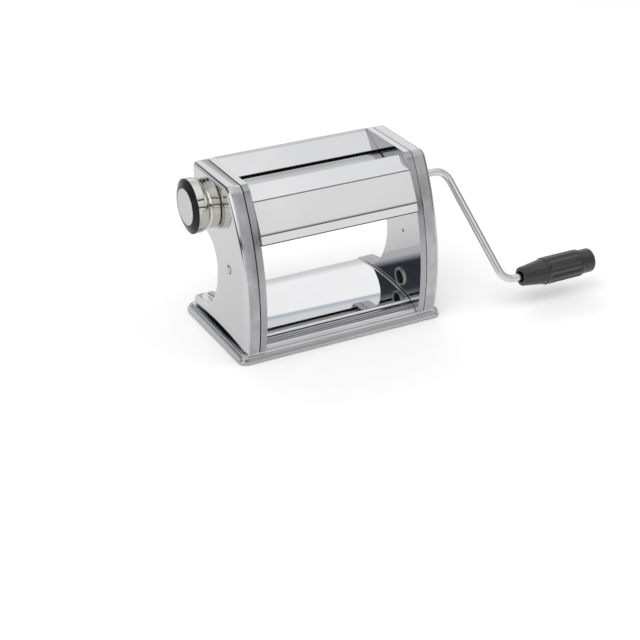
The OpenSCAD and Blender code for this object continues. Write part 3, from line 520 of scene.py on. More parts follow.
# %% World
right = wall([(0.0, 0.16, 0), (0.30, 0.22, 0), (0.50, 0.55, 0), (0.80, 0.80, 0)])
behind = wall([(0.0, 0.50, 0), (0.10, 0.60, 0), (0.24, 0.72, 0), (0.30, 1.0, 0), (0.600, 1.0, 0),
               (0.612, 0.42, 0.14), (0.640, 0.72, 0.03), (0.80, 0.76, 0.02), (0.92, 1.0, 0)])
unlit = wall([(0.0, 0.62, 0.01), (0.28, 0.66, 0.03), (0.37, 0.03, 0.02), (0.62, 0.04, 0.02),
              (0.75, 0.70, 0)])
before = wall([(0.0, 0.92, 0), (0.11, 0.92, 0), (0.13, 0.06, 0), (0.19, 0.10, 0), (0.24, 0.74, 0),
               (0.54, 0.92, 0), (0.58, 0.06, 0.01), (0.62, 0.08, 0.01), (0.68, 0.85, 0),
               (0.86, 1.0, 0)])
beside = wall([(0.0, 0.03, 0.01), (0.12, 0.03, 0.01), (0.17, 1.4, 0), (0.60, 1.4, 0),
               (0.70, 0.6, 0)])
room = passing("Y", -0.12, 0.12, passing("X", -0.70, -0.55, beside, before),
               passing("X", -0.24, -0.10, unlit, behind))
room = passing("X", 0.55, 0.75, room, right)
white = (1, 1, 1, 1)
seen = computed(sky, "MAXIMUM", rays.outputs["Is Camera Ray"], rays.outputs["Is Glossy Ray"])
feed(sky, background.inputs["Color"], mixed(sky, rays.outputs["Is Glossy Ray"], white, room))
feed(sky, background.inputs["Strength"], to_range(sky, seen, 0.55, 1.0, 0, 1))
print("world nodes:", len(sky.nodes))

# %% [markdown]
# ## Lamps and floor
# Three wide lamps shape the machine softly. They are hidden from reflections, because the room
# already gives steel its soft boxes and a second one would burn out. The floor is white and wide,
# shines a little for the camera alone, and keeps the soft shadow that ties the machine down.


# %% Lamps
def soft_lamp(name, at, size, power):
    """A wide lamp turned to the machine's foot, hidden from reflections."""
    data = bpy.data.lights.new(name, "AREA")
    data.shape = "RECTANGLE"
    data.size, data.size_y = size
    data.energy = power
    lamp = new_object(name, data)
    lamp.location = at
    lamp.rotation_euler = (lamp_target - Vector(at)).to_track_quat("-Z", "Y").to_euler()
    lamp.visible_glossy = False


lamp_target = Vector((0, 0, 0.05))
soft_lamp("key", (-0.9, -0.5, 1.7), (1.4, 1.4), 14)
soft_lamp("fill", (1.4, -0.8, 1.3), (1.4, 1.0), 7)
soft_lamp("back", (0.2, 1.6, 1.6), (1.8, 0.8), 9)
print("lamps:", len(bpy.data.lights))

# %% Floor
floor_half = 6000
floor_glow = 0.16
floor_corners = [(sx * floor_half, sy * floor_half, 0)
                 for sx, sy in ((-1, -1), (1, -1), (1, 1), (-1, 1))]
floor = build("floor", floor_corners, [(0, 1, 2, 3)])
floor_material, floor_tree, floor_shader = new_material("white_sweep", grey(0.92), 0.0, 0.9)
floor_rays = floor_tree.nodes.new("ShaderNodeLightPath")
scuffs = to_range(floor_tree, noise(floor_tree, (1, 1, 1), 3, 1), 0.85, 0.95)
glow = computed(floor_tree, "MULTIPLY", floor_rays.outputs["Is Camera Ray"], floor_glow)
feed(floor_tree, floor_shader.inputs["Roughness"], scuffs)
feed(floor_tree, floor_shader.inputs["Emission Color"], white)
feed(floor_tree, floor_shader.inputs["Emission Strength"], glow)
floor.data.materials.append(floor_material)
print("floor: %.0f m wide" % (2 * floor_half * MM))

# %% [markdown]
# ## Side outline
# Both sides of the machine share one outline: a long curved front edge, two rounded upper corners,
# a cut-out of two arcs behind the leg, a sloping foot, and a shallow arch underneath. It is worked
# out with an inset, so that the same function gives the edge, the rounding and the inside of the
# sheet. Circles that touch, or a line that meets a circle, fix the points between the arcs.

# %% Side outline
front_r, front_y, front_z = 200, -62, 45
corner_front_r, corner_back_r = 10, 5
least_corner_r = 0.5
back_y, foot_y, foot_z, foot_slope = 42, 51.5, 17.4, math.tan(math.radians(10.5))
cut_y, cut_z, cut_upper_r, cut_lower_r = -2.3, 68.5, 26, 55
arch_front_y, arch_back_y, arch_rise = -52, 46, 3.4
front_cy = front_y + front_r
corner_z = side_top - corner_front_r
corner_reach = math.sqrt((front_r - corner_front_r) ** 2 - (corner_z - front_z) ** 2)
corner_front = (front_cy - corner_reach, corner_z)
corner_back = (back_y - corner_back_r, side_top - corner_back_r)
arch_half = (arch_back_y - arch_front_y) / 2
arch_r = (arch_half ** 2 + arch_rise ** 2) / (2 * arch_rise)
arch_centre = ((arch_front_y + arch_back_y) / 2, ledge_z + arch_rise - arch_r)


def side_outline(inset=0.0):
    """The side's (y, z) outline, inset from its edge, always with as many points."""
    low, heel = ledge_z + inset, foot_y - inset
    reach, lower_r = front_r - inset, cut_lower_r + inset
    front_start = 180 + math.degrees(math.asin((front_z - low) / reach))
    front_end = math.degrees(math.atan2(corner_front[1] - front_z, corner_front[0] - front_cy))

    def foot_line(y):
        return foot_z - inset + (foot_y - y) * foot_slope

    # The foot's sloping line meets the cut-out's lower circle this far along from its centre.
    lower = (cut_y + cut_lower_r, cut_z)
    drop = foot_line(lower[0]) - cut_z
    square = 1 + foot_slope ** 2
    under_root = (drop * foot_slope) ** 2 - square * (drop ** 2 - lower_r ** 2)
    along = (drop * foot_slope - math.sqrt(under_root)) / square
    foot_angle = 360 + math.degrees(math.atan2(drop - along * foot_slope, along))
    arch_end = math.degrees(math.acos((arch_r - arch_rise + inset) / (arch_r + inset)))
    return (
        arc((front_cy, front_z), reach, front_start, front_end, 48)
        + arc(corner_front, max(corner_front_r - inset, least_corner_r), front_end - 3, 90, 16)
        + arc(corner_back, max(corner_back_r - inset, least_corner_r), 90, 0, 12)
        + [(back_y - inset, cut_z + cut_upper_r + inset)]
        + arc((cut_y + cut_upper_r, cut_z), cut_upper_r + inset, 90, 180, 28)
        + arc(lower, lower_r, 182, foot_angle, 28)
        + [(heel, max(foot_line(heel), low + least_corner_r)), (heel, low)]
        + arc(arch_centre, arch_r + inset, 90 - arch_end, 90 + arch_end, 24)
    )


print("side outline:", len(side_outline()), "points")

# %% [markdown]
# ## Side covers
# Each cover is a deep pressed shell with a soft rounded edge, open towards the frame plate. Rings
# of the outline, inset along a quarter circle, give that edge all the way round, also inside the
# cut-out where a bevel tool would struggle with the tight heel. The left cover is the right one
# mirrored, as it comes from the same press.

# %% Side covers
cover_wall, cover_edge = 1.2, 4.4
edge_x = face_x - cover_edge


def side_cover(name):
    """A cover on the right side, as (x, inset) stations from the inside round to the face."""
    stations = [(face_x - cover_wall, cover_wall + 0.6 * cover_edge), (edge_x, cover_wall),
                (cover_x + 0.3, cover_wall), (cover_x, 0.9), (cover_x, 0.35),
                (cover_x + 0.15, 0.1), (cover_x + 0.4, 0)]
    stations += [(edge_x + cover_edge * math.sin(t), cover_edge * (1 - math.cos(t)))
                 for t in quarter_turn(10)]
    rings = [[(x, y, z) for y, z in side_outline(inset)] for x, inset in stations]
    return loft(name, rings, sharp=70)


right_cover = side_cover("right_cover_shell")
left_cover = mirrored(right_cover, "left_cover_shell")
place(right_cover, cover_steel, "frame", "cover_steel", "right_side_cover")
place(left_cover, cover_steel, "frame", "cover_steel", "left_side_cover")
print("cover points:", len(right_cover.data.vertices))

# %% [markdown]
# ## Frame plates
# Inside each cover stands a plate with a rim turned round its edge. Its solid already has the right
# shape, holes included, so a merged copy only gets the small radius that a press leaves on sheet.

# %% Frame plates
for side in ("left", "right"):
    plate = copy_of(side + "_frame_plate", side + "_plate", 0.5)
    place(plate, rim_steel, "frame", "plate_steel", side + "_frame_plate")
    print(side, "plate points:", len(plate.data.vertices))

# %% [markdown]
# ## Bent sheet and rounded outlines
# A press brake bends sheet round a small radius, and a rolled edge is a tighter turn of the same
# kind. `rounded` replaces the corners of a line with arcs, and `folded` gives the line a thickness
# and carries it along X. A radius can be given for each corner, because a crease and a soft lip
# differ.


# %% Bent sheet
def rounded(points, radius, steps=8):
    """An open (y, z) line with its corners replaced by arcs."""
    radii = radius if isinstance(radius, list) else [radius] * (len(points) - 2)
    line = [Vector(points[0])]
    for before, corner, after, r in zip(points, points[1:], points[2:], radii):
        corner = Vector(corner)
        if not r:
            line.append(corner)
            continue
        to_before, to_after = Vector(before) - corner, Vector(after) - corner
        half = to_before.angle(to_after) / 2
        reach = min(r / math.tan(half), 0.48 * to_before.length, 0.48 * to_after.length)
        middle = (to_before.normalized() + to_after.normalized()).normalized()
        centre = corner + middle * reach / math.cos(half)
        start = corner + to_before.normalized() * reach - centre
        turn = start.angle_signed(corner + to_after.normalized() * reach - centre)
        line += [centre + Matrix.Rotation(-turn * i / steps, 2) @ start for i in range(steps + 1)]
    return line + [Vector(points[-1])]


def thick_line(line, thickness, eased=0.3):
    """The closed outline of a line with a thickness on its right, and its ends' corners eased."""
    last = len(line) - 1
    ways = [(line[min(i + 1, last)] - line[max(i - 1, 0)]).normalized() for i in range(last + 1)]
    inner = [p + Vector((way.y, -way.x)) * thickness for p, way in zip(line, ways)]
    lip = eased * thickness
    start_step, end_step = (inner[0] - line[0]) * eased, (inner[-1] - line[-1]) * eased
    return ([line[0] + ways[0] * lip] + line[1:-1] + [line[-1] - ways[-1] * lip]
            + [line[-1] + end_step, inner[-1] - end_step]
            + [inner[-1] - ways[-1] * lip] + inner[-2:0:-1] + [inner[0] + ways[0] * lip]
            + [inner[0] - start_step, line[0] + start_step])


def folded(name, points, thickness, half_width, radius):
    """Sheet bent along a (y, z) line, from one end of the machine to the other."""
    outline = [tuple(p) for p in thick_line(rounded(points, radius), thickness)]
    return prism(name, outline, -half_width, half_width, sharp=40)


print("a rounded right angle has", len(rounded([(0, 0), (9, 0), (9, 9)], 2)), "points")

# %% [markdown]
# ## Base plate
# The base is one pressed plate: its skirt steps down round a rounded rectangle, and two beads in
# the top hold the tray. Rings of a rounded rectangle, one for each point of the skirt's section,
# give the plate its steps and its thickness. The beads are folded strips, because they end at the
# sides.

# %% Base plate
base_t, base_corner = 1.2, 8.0
base_x = base_high.x
press_r, bead_r = 0.55, 0.9
skirt_reach = 7.4
skirt = [(0.9, base_low.z), (0, 3), (0.5, 3.7), (1.4, 6.2), (1.9, 6.8), (2.7, 7.0), (3.4, 7.6),
         (3.7, 8.6), (4.4, ledge_z), (skirt_reach, ledge_z)]
wall_end, wall_drop = 3.6, 0.3


def corner_ring(inset, z, steps=12):
    """A rounded rectangle inside the base's edge, at a height."""
    ring = []
    corners = ((1, base_high.y), (-1, base_high.y), (-1, base_low.y), (1, base_low.y))
    for k, (sx, y) in enumerate(corners):
        cy = y - base_corner if y > 0 else y + base_corner
        centre = (sx * (base_x - base_corner), cy)
        corner = arc(centre, base_corner - inset, 90 * k, 90 * k + 90, steps)
        ring += [(x, y, z) for x, y in corner]
    return ring


skirt_line = [tuple(p) for p in rounded(skirt, press_r, 4)]
inner_line = [(min(inset + base_t, skirt_reach),
               max(z - (base_t if inset > wall_end else wall_drop), base_low.z))
              for inset, z in skirt[::-1]]
base_shell = loft("base_shell", [corner_ring(inset, z) for inset, z in inner_line + skirt_line],
                  sharp=60)
place(base_shell, base_steel, "frame", "base_steel", "base_plate")

bead_foot = ledge_z + 0.2
front_bead = [(-57.4, ledge_z - 0.3), (-56.4, bead_foot), (-55.2, 11.2), (-53.8, 12.3),
              (-52.3, 12.7), (-51.2, 14.2), (-49.6, 15.1), (-47.4, 15.3), (-47.4, bead_foot)]
back_bead = [(51, bead_foot), (51, 15.3), (53, 15.1), (54.4, 14.2), (55.2, 12.7), (56, bead_foot)]
for name, points in (("front_bead", front_bead), ("back_bead", back_bead)):
    place(folded(name, points, base_t, inside_x, bead_r), base_steel, "frame", "base_steel")
print("base points:", len(base_shell.data.vertices))

# %% [markdown]
# ## Tray
# The tray is a bright sheet bent into a shallow dome with rolled edges, so it mirrors the room as
# long soft bands. The dome is an arc of a large radius, folded as the other sheets are. A thin hem
# is turned over at each end, and it catches the light as a fine bright line.

# %% Tray
tray_low, tray_high = box_mm("tray")
tray_r, tray_y = 290, 4
tray_edge_r, edge_gap = 3.8, 0.4
tray_steps = 110


def tray_z(y):
    """Height of the dome."""
    return tray_high.z - tray_r + math.sqrt(tray_r ** 2 - (y - tray_y) ** 2)


dome_start = tray_low.y + tray_edge_r + edge_gap
dome_width = tray_high.y - tray_edge_r - edge_gap - dome_start
dome_y = [dome_start + dome_width * k / tray_steps for k in range(tray_steps + 1)]
dome = [(y, tray_z(y)) for y in dome_y]
tray_line = ([(tray_low.y, tray_low.z), (tray_low.y, tray_z(tray_low.y))] + dome
             + [(tray_high.y, tray_z(tray_high.y)), (tray_high.y, tray_low.z)])
tray_radii = [tray_edge_r] + [0] * len(dome) + [tray_edge_r]
tray = folded("tray_sheet", tray_line, base_t, tray_high.x, tray_radii)
place(tray, tray_steel, "frame", "tray_steel", "tray")

hem_r, hem_lift = 0.7, 0.1
for side, end in ((-1, "left"), (1, "right")):
    hem_x = side * (tray_high.x - hem_r)
    rings = [[(hem_x + hem_r * math.sin(t), y, z + hem_lift + hem_r * math.cos(t))
              for t in full_turn(12)] for y, z in dome[::5]]
    place(loft("tray_hem_" + end, rings, sharp=60), chrome, "frame", "tray_steel")
print("tray points:", len(tray.data.vertices))

# %% [markdown]
# ## Hoods
# The front hood is one sheet: a rolled ridge at the feed opening, a shoulder, a crease, a long face
# that hangs steeper near its foot, and a hem turned in. The rear hood starts as the sloping feed
# plate, turns over a rolled rim and drops as the back wall. The finish paints shade into the colour
# along the folds, as the dark reflections that they gather, so the radii only have to be wide
# enough to show them.

# %% Hoods
hood_t = 1.0
hood_half = box_mm("front_hood")[1].x
hem = Vector((-54.6, 105.2))
fold = Vector((-38.2, 139.6))
ridge = Vector((-22, 148.5))
mouth = Vector((-14.6, 139.4))
lip_start = hem.lerp(fold, 0.28) + Vector((-2.0, -0.1))
hem_turned_in = [hem + Vector((4.0, 1.5)), hem + Vector((3.2, 0.0))]
front_line = hem_turned_in + [hem, lip_start, fold, ridge, mouth]
front_radii = [0.5, 1.2, 16, 4.0, 1.8]
front_sheet = folded("front_hood_sheet", front_line, hood_t, hood_half, front_radii)
place(front_sheet, hood_steel, "frame", "hood_steel", "front_hood")

wall_y = box_mm("rear_hood")[1].y
rear_line = [(16.4, 139.4), (37.9, 149.9), (38.7, 151.7), (40.9, 151.7), (wall_y, 149.6),
             (wall_y, 106.0), (wall_y - 3.4, 100.5), (wall_y - 4.4, 101.2)]
rear_radii = [0.4, 0.7, 0.9, 1.0, 3.0, 0.4]
rear_sheet = folded("rear_hood_sheet", rear_line, hood_t, hood_half, rear_radii)
place(rear_sheet, hood_steel, "frame", "hood_steel", "rear_hood")
print("hood points:", len(front_sheet.data.vertices), "and", len(rear_sheet.data.vertices))

# %% [markdown]
# ## Hood flanges
# At both ends each hood is held by a flange that lies flat on a frame plate and takes the rivets. A
# flange is a short prism with softened edges, made once for each end.

# %% Hood flanges
flange_t = 1.4


def flange(name, outline):
    """A flange at each end of a hood."""
    for side, end in ((-1, "_left"), (1, "_right")):
        faces = sorted((side * hood_half, side * (hood_half - flange_t)))
        piece = soften(prism(name + end, outline, *faces), 0.3, 2)
        place(piece, satin_steel, "frame", "hood_steel")
        print(piece.name, "points:", len(piece.data.vertices))


from_fold = [(6, -2), (2, -14), (-6.4, -30.2), (-10.2, -33.2), (-14.4, -31.6), (0.8, -0.9)]
flange("front_flange", [tuple(fold + Vector(p)) for p in from_fold])
rear_y = (wall_y - 6.2, wall_y - 1.0)
flange("rear_flange", [(rear_y[0], 117), (rear_y[1], 117), (rear_y[1], 135), (rear_y[0], 135)])

# %% [markdown]
# ## Rollers
# A roller is turned from bar and ground, so its ends have a small chamfer and its journals are
# narrower. A profile of radii along X gives the whole thing in one go. The front one has a bore at
# its right end for the crank. Long grinding marks along the roller come from the finish.

# %% Rollers
roller_r, journal_r, seat_r = 15.0, 8.0, 7.0
barrel_chamfer, end_chamfer = 0.8, 0.5
seat_x = 82.2
crank_bore_r, crank_bore_depth = 3.55, 30
front_low, front_high = box_mm("front_roller")
rear_end = box_mm("rear_roller")[1].x


def roller_profile(left, right, bore=None):
    """(x, radius) points of a roller from its left end to its right one."""
    barrel = [(-inside_x, journal_r), (-inside_x, roller_r - barrel_chamfer),
              (-inside_x + barrel_chamfer, roller_r), (inside_x - barrel_chamfer, roller_r),
              (inside_x, roller_r - barrel_chamfer), (inside_x, journal_r)]
    left_end = [(left, 0), (left, journal_r - end_chamfer), (left + end_chamfer, journal_r)]
    right_end = [(seat_x, journal_r), (seat_x, seat_r), (right - end_chamfer, seat_r),
                 (right, seat_r - end_chamfer)]
    if bore:
        bottom = right - crank_bore_depth
        return left_end + barrel + right_end + [(right, bore), (bottom, bore), (bottom, 0)]
    return left_end + barrel + right_end + [(right, 0)]


front_profile = roller_profile(front_low.x, front_high.x, crank_bore_r)
front_roller = turned("front_roller_bar", crank_axis, front_profile, sharp=30)
rear_roller = turned("rear_roller_bar", rear_axis, roller_profile(front_low.x, rear_end), sharp=30)
place(front_roller, roller_steel, "front_drive", "roller_steel", "front_roller")
place(rear_roller, roller_steel, "rear_drive", "roller_steel", "rear_roller")
print("gap between the rollers: %.2f mm" % ((rear_axis - crank_axis).length - 2 * roller_r))

# %% [markdown]
# ## Blades
# The blades under the rollers peel the sheet off. They are plain bent strips, so copies of their
# solids with softened edges are enough.

# %% Blades
for side, body in (("front", "frame"), ("rear", "carriage")):
    blade = copy_of(side + "_scraper", side + "_blade", 0.25)
    place(blade, nylon, body, "nylon", side + "_scraper")
    print(side, "blade points:", len(blade.data.vertices))

# %% [markdown]
# ## Thickness knob
# Collar, barrel, bevel and end disc are all turned about one axis. The barrel's shoulder curves in
# towards the collar, and the collar flares out again to the side of the machine, so the polished
# metal squeezes its reflections into rings there. The black bevel is glossy plastic, and a thin
# bright rim runs round the grey disc.


# %% Knob barrel and collar
def knob_part(name, profile):
    """A ring turned about the knob's axis."""
    return turned(name, knob_axis, profile, 160, closed=True, sharp=40)


knob_r, waist_r, foot_r = 24.0, 21.0, 22.0
barrel_inner_r, collar_inner_r, collar_hole_r = 9.0, 19.0, 8.0
shoulder_r, collar_t = 4.6, 1.5
barrel_x = box_mm("knob_barrel")[1].x
bevel_x = box_mm("knob_bevel")[1].x
collar_end = box_mm("knob_collar")[0].x
shoulder = [(barrel_x - shoulder_r + shoulder_r * math.sin(t),
             knob_r - (knob_r - waist_r) * (1 - math.cos(t))) for t in quarter_turn(9)]
outside = [(bevel_x, knob_r - 0.3), (bevel_x + 0.3, knob_r)] + shoulder
barrel_line = [(bevel_x, barrel_inner_r)] + outside + [(barrel_x, barrel_inner_r)]
barrel = knob_part("knob_shell", barrel_line)
place(barrel, warm_chrome, "knob", "knob_steel", "knob_barrel")

collar_x = -face_x
flare = [(collar_end, waist_r - 0.5), (collar_end + 0.3, waist_r),
         (collar_end + 1.6, waist_r + 1.1), (collar_end + 1.9, waist_r + 0.9),
         (collar_end + 2.3, waist_r + 1.2), (collar_end + 4.4, foot_r - 0.2), (collar_x, foot_r)]
inside = [(collar_x, collar_hole_r), (collar_x - collar_t, collar_hole_r),
          (collar_x - collar_t, collar_inner_r), (collar_end, collar_inner_r)]
collar = knob_part("collar_ring", flare + inside)
place(collar, warm_chrome, "frame", "knob_steel", "knob_collar")
print("knob from %.1f to %.1f, collar to %.1f" % (bevel_x, barrel_x, collar_x))

# %% Knob bevel and disc
bevel_inner_r = 15.5
bevel_end = box_mm("knob_bevel")[0].x
seat = bevel_end + 1.8
cap_low, cap_high = box_mm("knob_cap")
cap_r = (cap_high.z - cap_low.z) / 2
disc_r = cap_r - 1.3
bevel_line = [(bevel_x, bevel_inner_r), (bevel_x, knob_r), (bevel_x - 0.35, knob_r),
              (bevel_x - 0.6, knob_r - 0.25), (bevel_end + 0.3, cap_r + 0.5),
              (bevel_end, cap_r + 0.2), (bevel_end, disc_r + 0.15), (seat, disc_r + 0.1),
              (seat, bevel_inner_r)]
bevel = knob_part("knob_bevel_ring", bevel_line)
place(bevel, gloss_black, "knob", "bevel_black", "knob_bevel")

disc_face = cap_low.x + 0.3
disc_line = [(seat, 0), (seat, disc_r), (cap_low.x + 0.5, disc_r),
             (cap_low.x + 0.35, disc_r - 0.15), (disc_face, disc_r - 0.9), (disc_face, 0)]
disc = turned("knob_disc", knob_axis, disc_line, 160)
place(disc, cap_silver, "knob", "cap_grey", "knob_cap")
rim_line = [(cap_low.x + 0.35, disc_r - 0.05), (cap_low.x + 0.1, disc_r - 0.2),
            (cap_low.x, disc_r - 0.5), (cap_low.x + 0.1, disc_r - 0.8),
            (cap_low.x + 0.35, disc_r - 0.95)]
rim = knob_part("knob_disc_rim", rim_line)
place(rim, chrome, "knob", "cap_grey")
print("disc radius: %.1f of %.1f" % (disc_r, knob_r))

# %% [markdown]
# ## Crank
# The crank is one chromed rod with two bends. A circle carried along its centre line makes it, and
# the bends are arcs of the rod's real bending radius. The line is drawn flat, with one axis along X
# and one along the arm, and then turned to the angle at which the crank hangs.

# %% Crank rod
rod_r, bend_r = 3.4, 14.0
arm_out, arm_lean = 28.6, 33.2
arm_length = math.hypot(grip_axis.y - crank_axis.y, grip_axis.z - crank_axis.z)
arm_way = Vector((0, grip_axis.y - crank_axis.y, grip_axis.z - crank_axis.z)) / arm_length
rod_low, rod_high = box_mm("crank_rod")
arm_x = face_x + arm_out
grip_x = arm_x + arm_lean
flat_line = [(rod_low.x, 0), (arm_x, 0), (grip_x, arm_length), (rod_high.x, arm_length)]
rod_start = Vector((0, crank_axis.y, crank_axis.z))
rod_line = [Vector((p.x, 0, 0)) + rod_start + arm_way * p.y for p in rounded(flat_line, bend_r, 20)]


def swept(name, line, radius, steps=40, chamfer=0.6):
    """A round bar with chamfered ends, along a line that lies in one plane through X."""
    across = Vector((1, 0, 0)).cross(arm_way)
    inset = Vector((chamfer, 0, 0))
    line = [line[0], line[0] + inset] + line[1:-1] + [line[-1] - inset, line[-1]]
    last = len(line) - 1
    rings = []
    for i, point in enumerate(line):
        ahead = (line[min(i + 1, last)] - line[max(i - 1, 0)]).normalized()
        side = ahead.cross(across)
        r = radius - chamfer if i in (0, last) else radius
        rings.append([tuple(point + r * (math.cos(t) * across + math.sin(t) * side))
                      for t in full_turn(steps)])
    return loft(name, rings, sharp=50)


crank_bar = swept("crank_bar", rod_line, rod_r)
place(crank_bar, chrome, "crank", "crank_chrome", "crank_rod")
print("crank arm: %.1f mm from axis to axis" % arm_length)

# %% [markdown]
# ## Grip
# The grip is moulded black plastic: a tapered neck, a small step, a barrel with broad flutes and a
# separate end cap. Rings of points round the axis make the barrel. Each ring's radius dips at the
# flutes, and the dips fade out at both ends, as a round cutter would leave them.

# %% Grip body
neck_gap, neck_length, barrel_length = 17.8, 23.5, 39.7
neck_x = grip_x + neck_gap
step_x = neck_x + neck_length
cap_x = step_x + barrel_length
neck_r, barrel_r = 8.7, 12.6
grip_bore, mouth_r, plug_r = rod_r + 0.1, rod_r + 2, 7.0
mouth_depth, plug_depth = 4, 5
flutes, flute_depth, flute_fade = 10, 0.95, 2.5
fluted_from_r = 11


def fade(x, start, end, length):
    """Rises from 0 to 1 over a length after start, and falls again before end."""
    rise = max(0.0, min((x - start) / length, (end - x) / length, 1.0))
    return rise * rise * (3 - 2 * rise)


def grip_ring(x, radius, steps=240):
    """A ring of the grip, with its flutes where it is wide enough."""
    depth = 0
    if radius > fluted_from_r:
        depth = flute_depth * fade(x, step_x + 1.6, cap_x - 2.6, flute_fade)
    ring = []
    for t in full_turn(steps):
        dip = depth * max(0.0, 0.5 + 0.75 * math.cos(flutes * t)) ** 1.2
        reach = radius - dip
        ring.append((x, grip_axis.y + reach * math.cos(t), grip_axis.z + reach * math.sin(t)))
    return ring


grip_stations = [(neck_x + mouth_depth, grip_bore), (neck_x + mouth_depth, mouth_r),
                 (neck_x, mouth_r), (neck_x, neck_r - 0.7), (neck_x + 0.25, neck_r - 0.2),
                 (neck_x + 0.8, neck_r), (step_x - 0.3, barrel_r - 0.85),
                 (step_x, barrel_r - 0.6), (step_x + 0.15, barrel_r - 0.15),
                 (step_x + 0.6, barrel_r)]
grip_stations += [(step_x + 1.2 + (cap_x - step_x - 2.4) * k / 40, barrel_r) for k in range(41)]
grip_stations += [(cap_x - 0.7, barrel_r - 0.1), (cap_x - 0.2, barrel_r - 0.5),
                  (cap_x, barrel_r - 1.0), (cap_x, plug_r), (cap_x - plug_depth, plug_r),
                  (cap_x - plug_depth, grip_bore)]
grip_rings = [grip_ring(x, r) for x, r in grip_stations]
grip_body = loft("grip_body", grip_rings, closed=True, sharp=50)
place(grip_body, satin_black, "handle", "grip_black", "grip")
print("grip body: %.1f mm long, %d points" % (cap_x - neck_x, len(grip_body.data.vertices)))

# %% Grip end cap
cap_end = box_mm("grip_end_cap")[1].x
cap_outer_r, cap_round, cap_hollow = 11.2, 2.2, 0.5
cap_inside = [(cap_x + 5.5, 0), (cap_x + 5.5, plug_r), (cap_x, plug_r),
              (cap_x, cap_outer_r - 0.5), (cap_x + 0.5, cap_outer_r)]
cap_edge = [(cap_end - cap_round + cap_round * math.sin(t),
             cap_outer_r - cap_round + cap_round * math.cos(t)) for t in quarter_turn(9)]
cap_dish = [(cap_end, 6.5), (cap_end - cap_hollow, 6.0), (cap_end - cap_hollow, 0)]
end_cap = turned("grip_cap", grip_axis, cap_inside + cap_edge + cap_dish, 120)
place(end_cap, satin_black, "handle", "grip_black", "grip_end_cap")
print("end cap: %.1f mm long" % (cap_end - cap_x))

# %% [markdown]
# ## Ferrules
# A ferrule is a thin turned ring pressed into a sheet so that a rod doesn't wear the hole. The
# clamp's ferrule has a rolled lip that shows as a ring round a dark hole. The crank's is a low
# bright collar on the right cover's face.

# %% Ferrules
socket_low, socket_high = box_mm("clamp_ferrule")
socket_axis = (socket_low + socket_high) / 2
socket_r, sleeve_r, flange_r = 6.2, 7.4, 8.4
socket_line = [(socket_low.x + 0.6, socket_r), (socket_low.x + 0.15, 6.5), (socket_low.x, 7.1),
               (socket_low.x, 7.7), (socket_low.x + 0.2, 8.2), (socket_low.x + 0.7, flange_r),
               (web_x, flange_r), (web_x, sleeve_r), (socket_high.x, sleeve_r),
               (socket_high.x, socket_r)]
socket = turned("clamp_ring", socket_axis, socket_line, closed=True)
place(socket, dark_steel, "frame", "ferrule_steel", "clamp_ferrule")

ring_high = box_mm("crank_ferrule")[1].x
ring_inner_r, ring_sleeve_r, ring_outer_r = 8.0, 9.2, 11.0
ring_back = face_x - 1.8
ring_line = [(ring_back, ring_inner_r), (ring_back, ring_sleeve_r), (face_x, ring_sleeve_r),
             (face_x, ring_outer_r), (ring_high - 0.5, ring_outer_r), (ring_high - 0.15, 10.7),
             (ring_high, 10.2), (ring_high, 8.6), (ring_high - 0.15, 8.2),
             (ring_high - 0.6, ring_inner_r)]
crank_ring = turned("crank_ring", crank_axis, ring_line, closed=True)
place(crank_ring, chrome, "frame", "ferrule_steel", "crank_ferrule")
print("ferrule bores: %.1f and %.1f mm" % (2 * socket_r, 2 * ring_inner_r))

# %% [markdown]
# ## Fasteners and feet
# Rivets and rubber feet are one head on one shank, each repeated at a few places. A Geometry Nodes
# tree does that: it builds the head and shank from named sizes, puts one on every vertex, and turns
# it to the direction stored there. The shank overlaps its head by a hair, so that no gap can show.


# %% Fastener tree
head_sizes = {"Head radius": 3.0, "Top radius": 2.4, "Head height": 1.0, "Shank radius": 1.5,
              "Shank length": 4.0}
half_down = -0.499


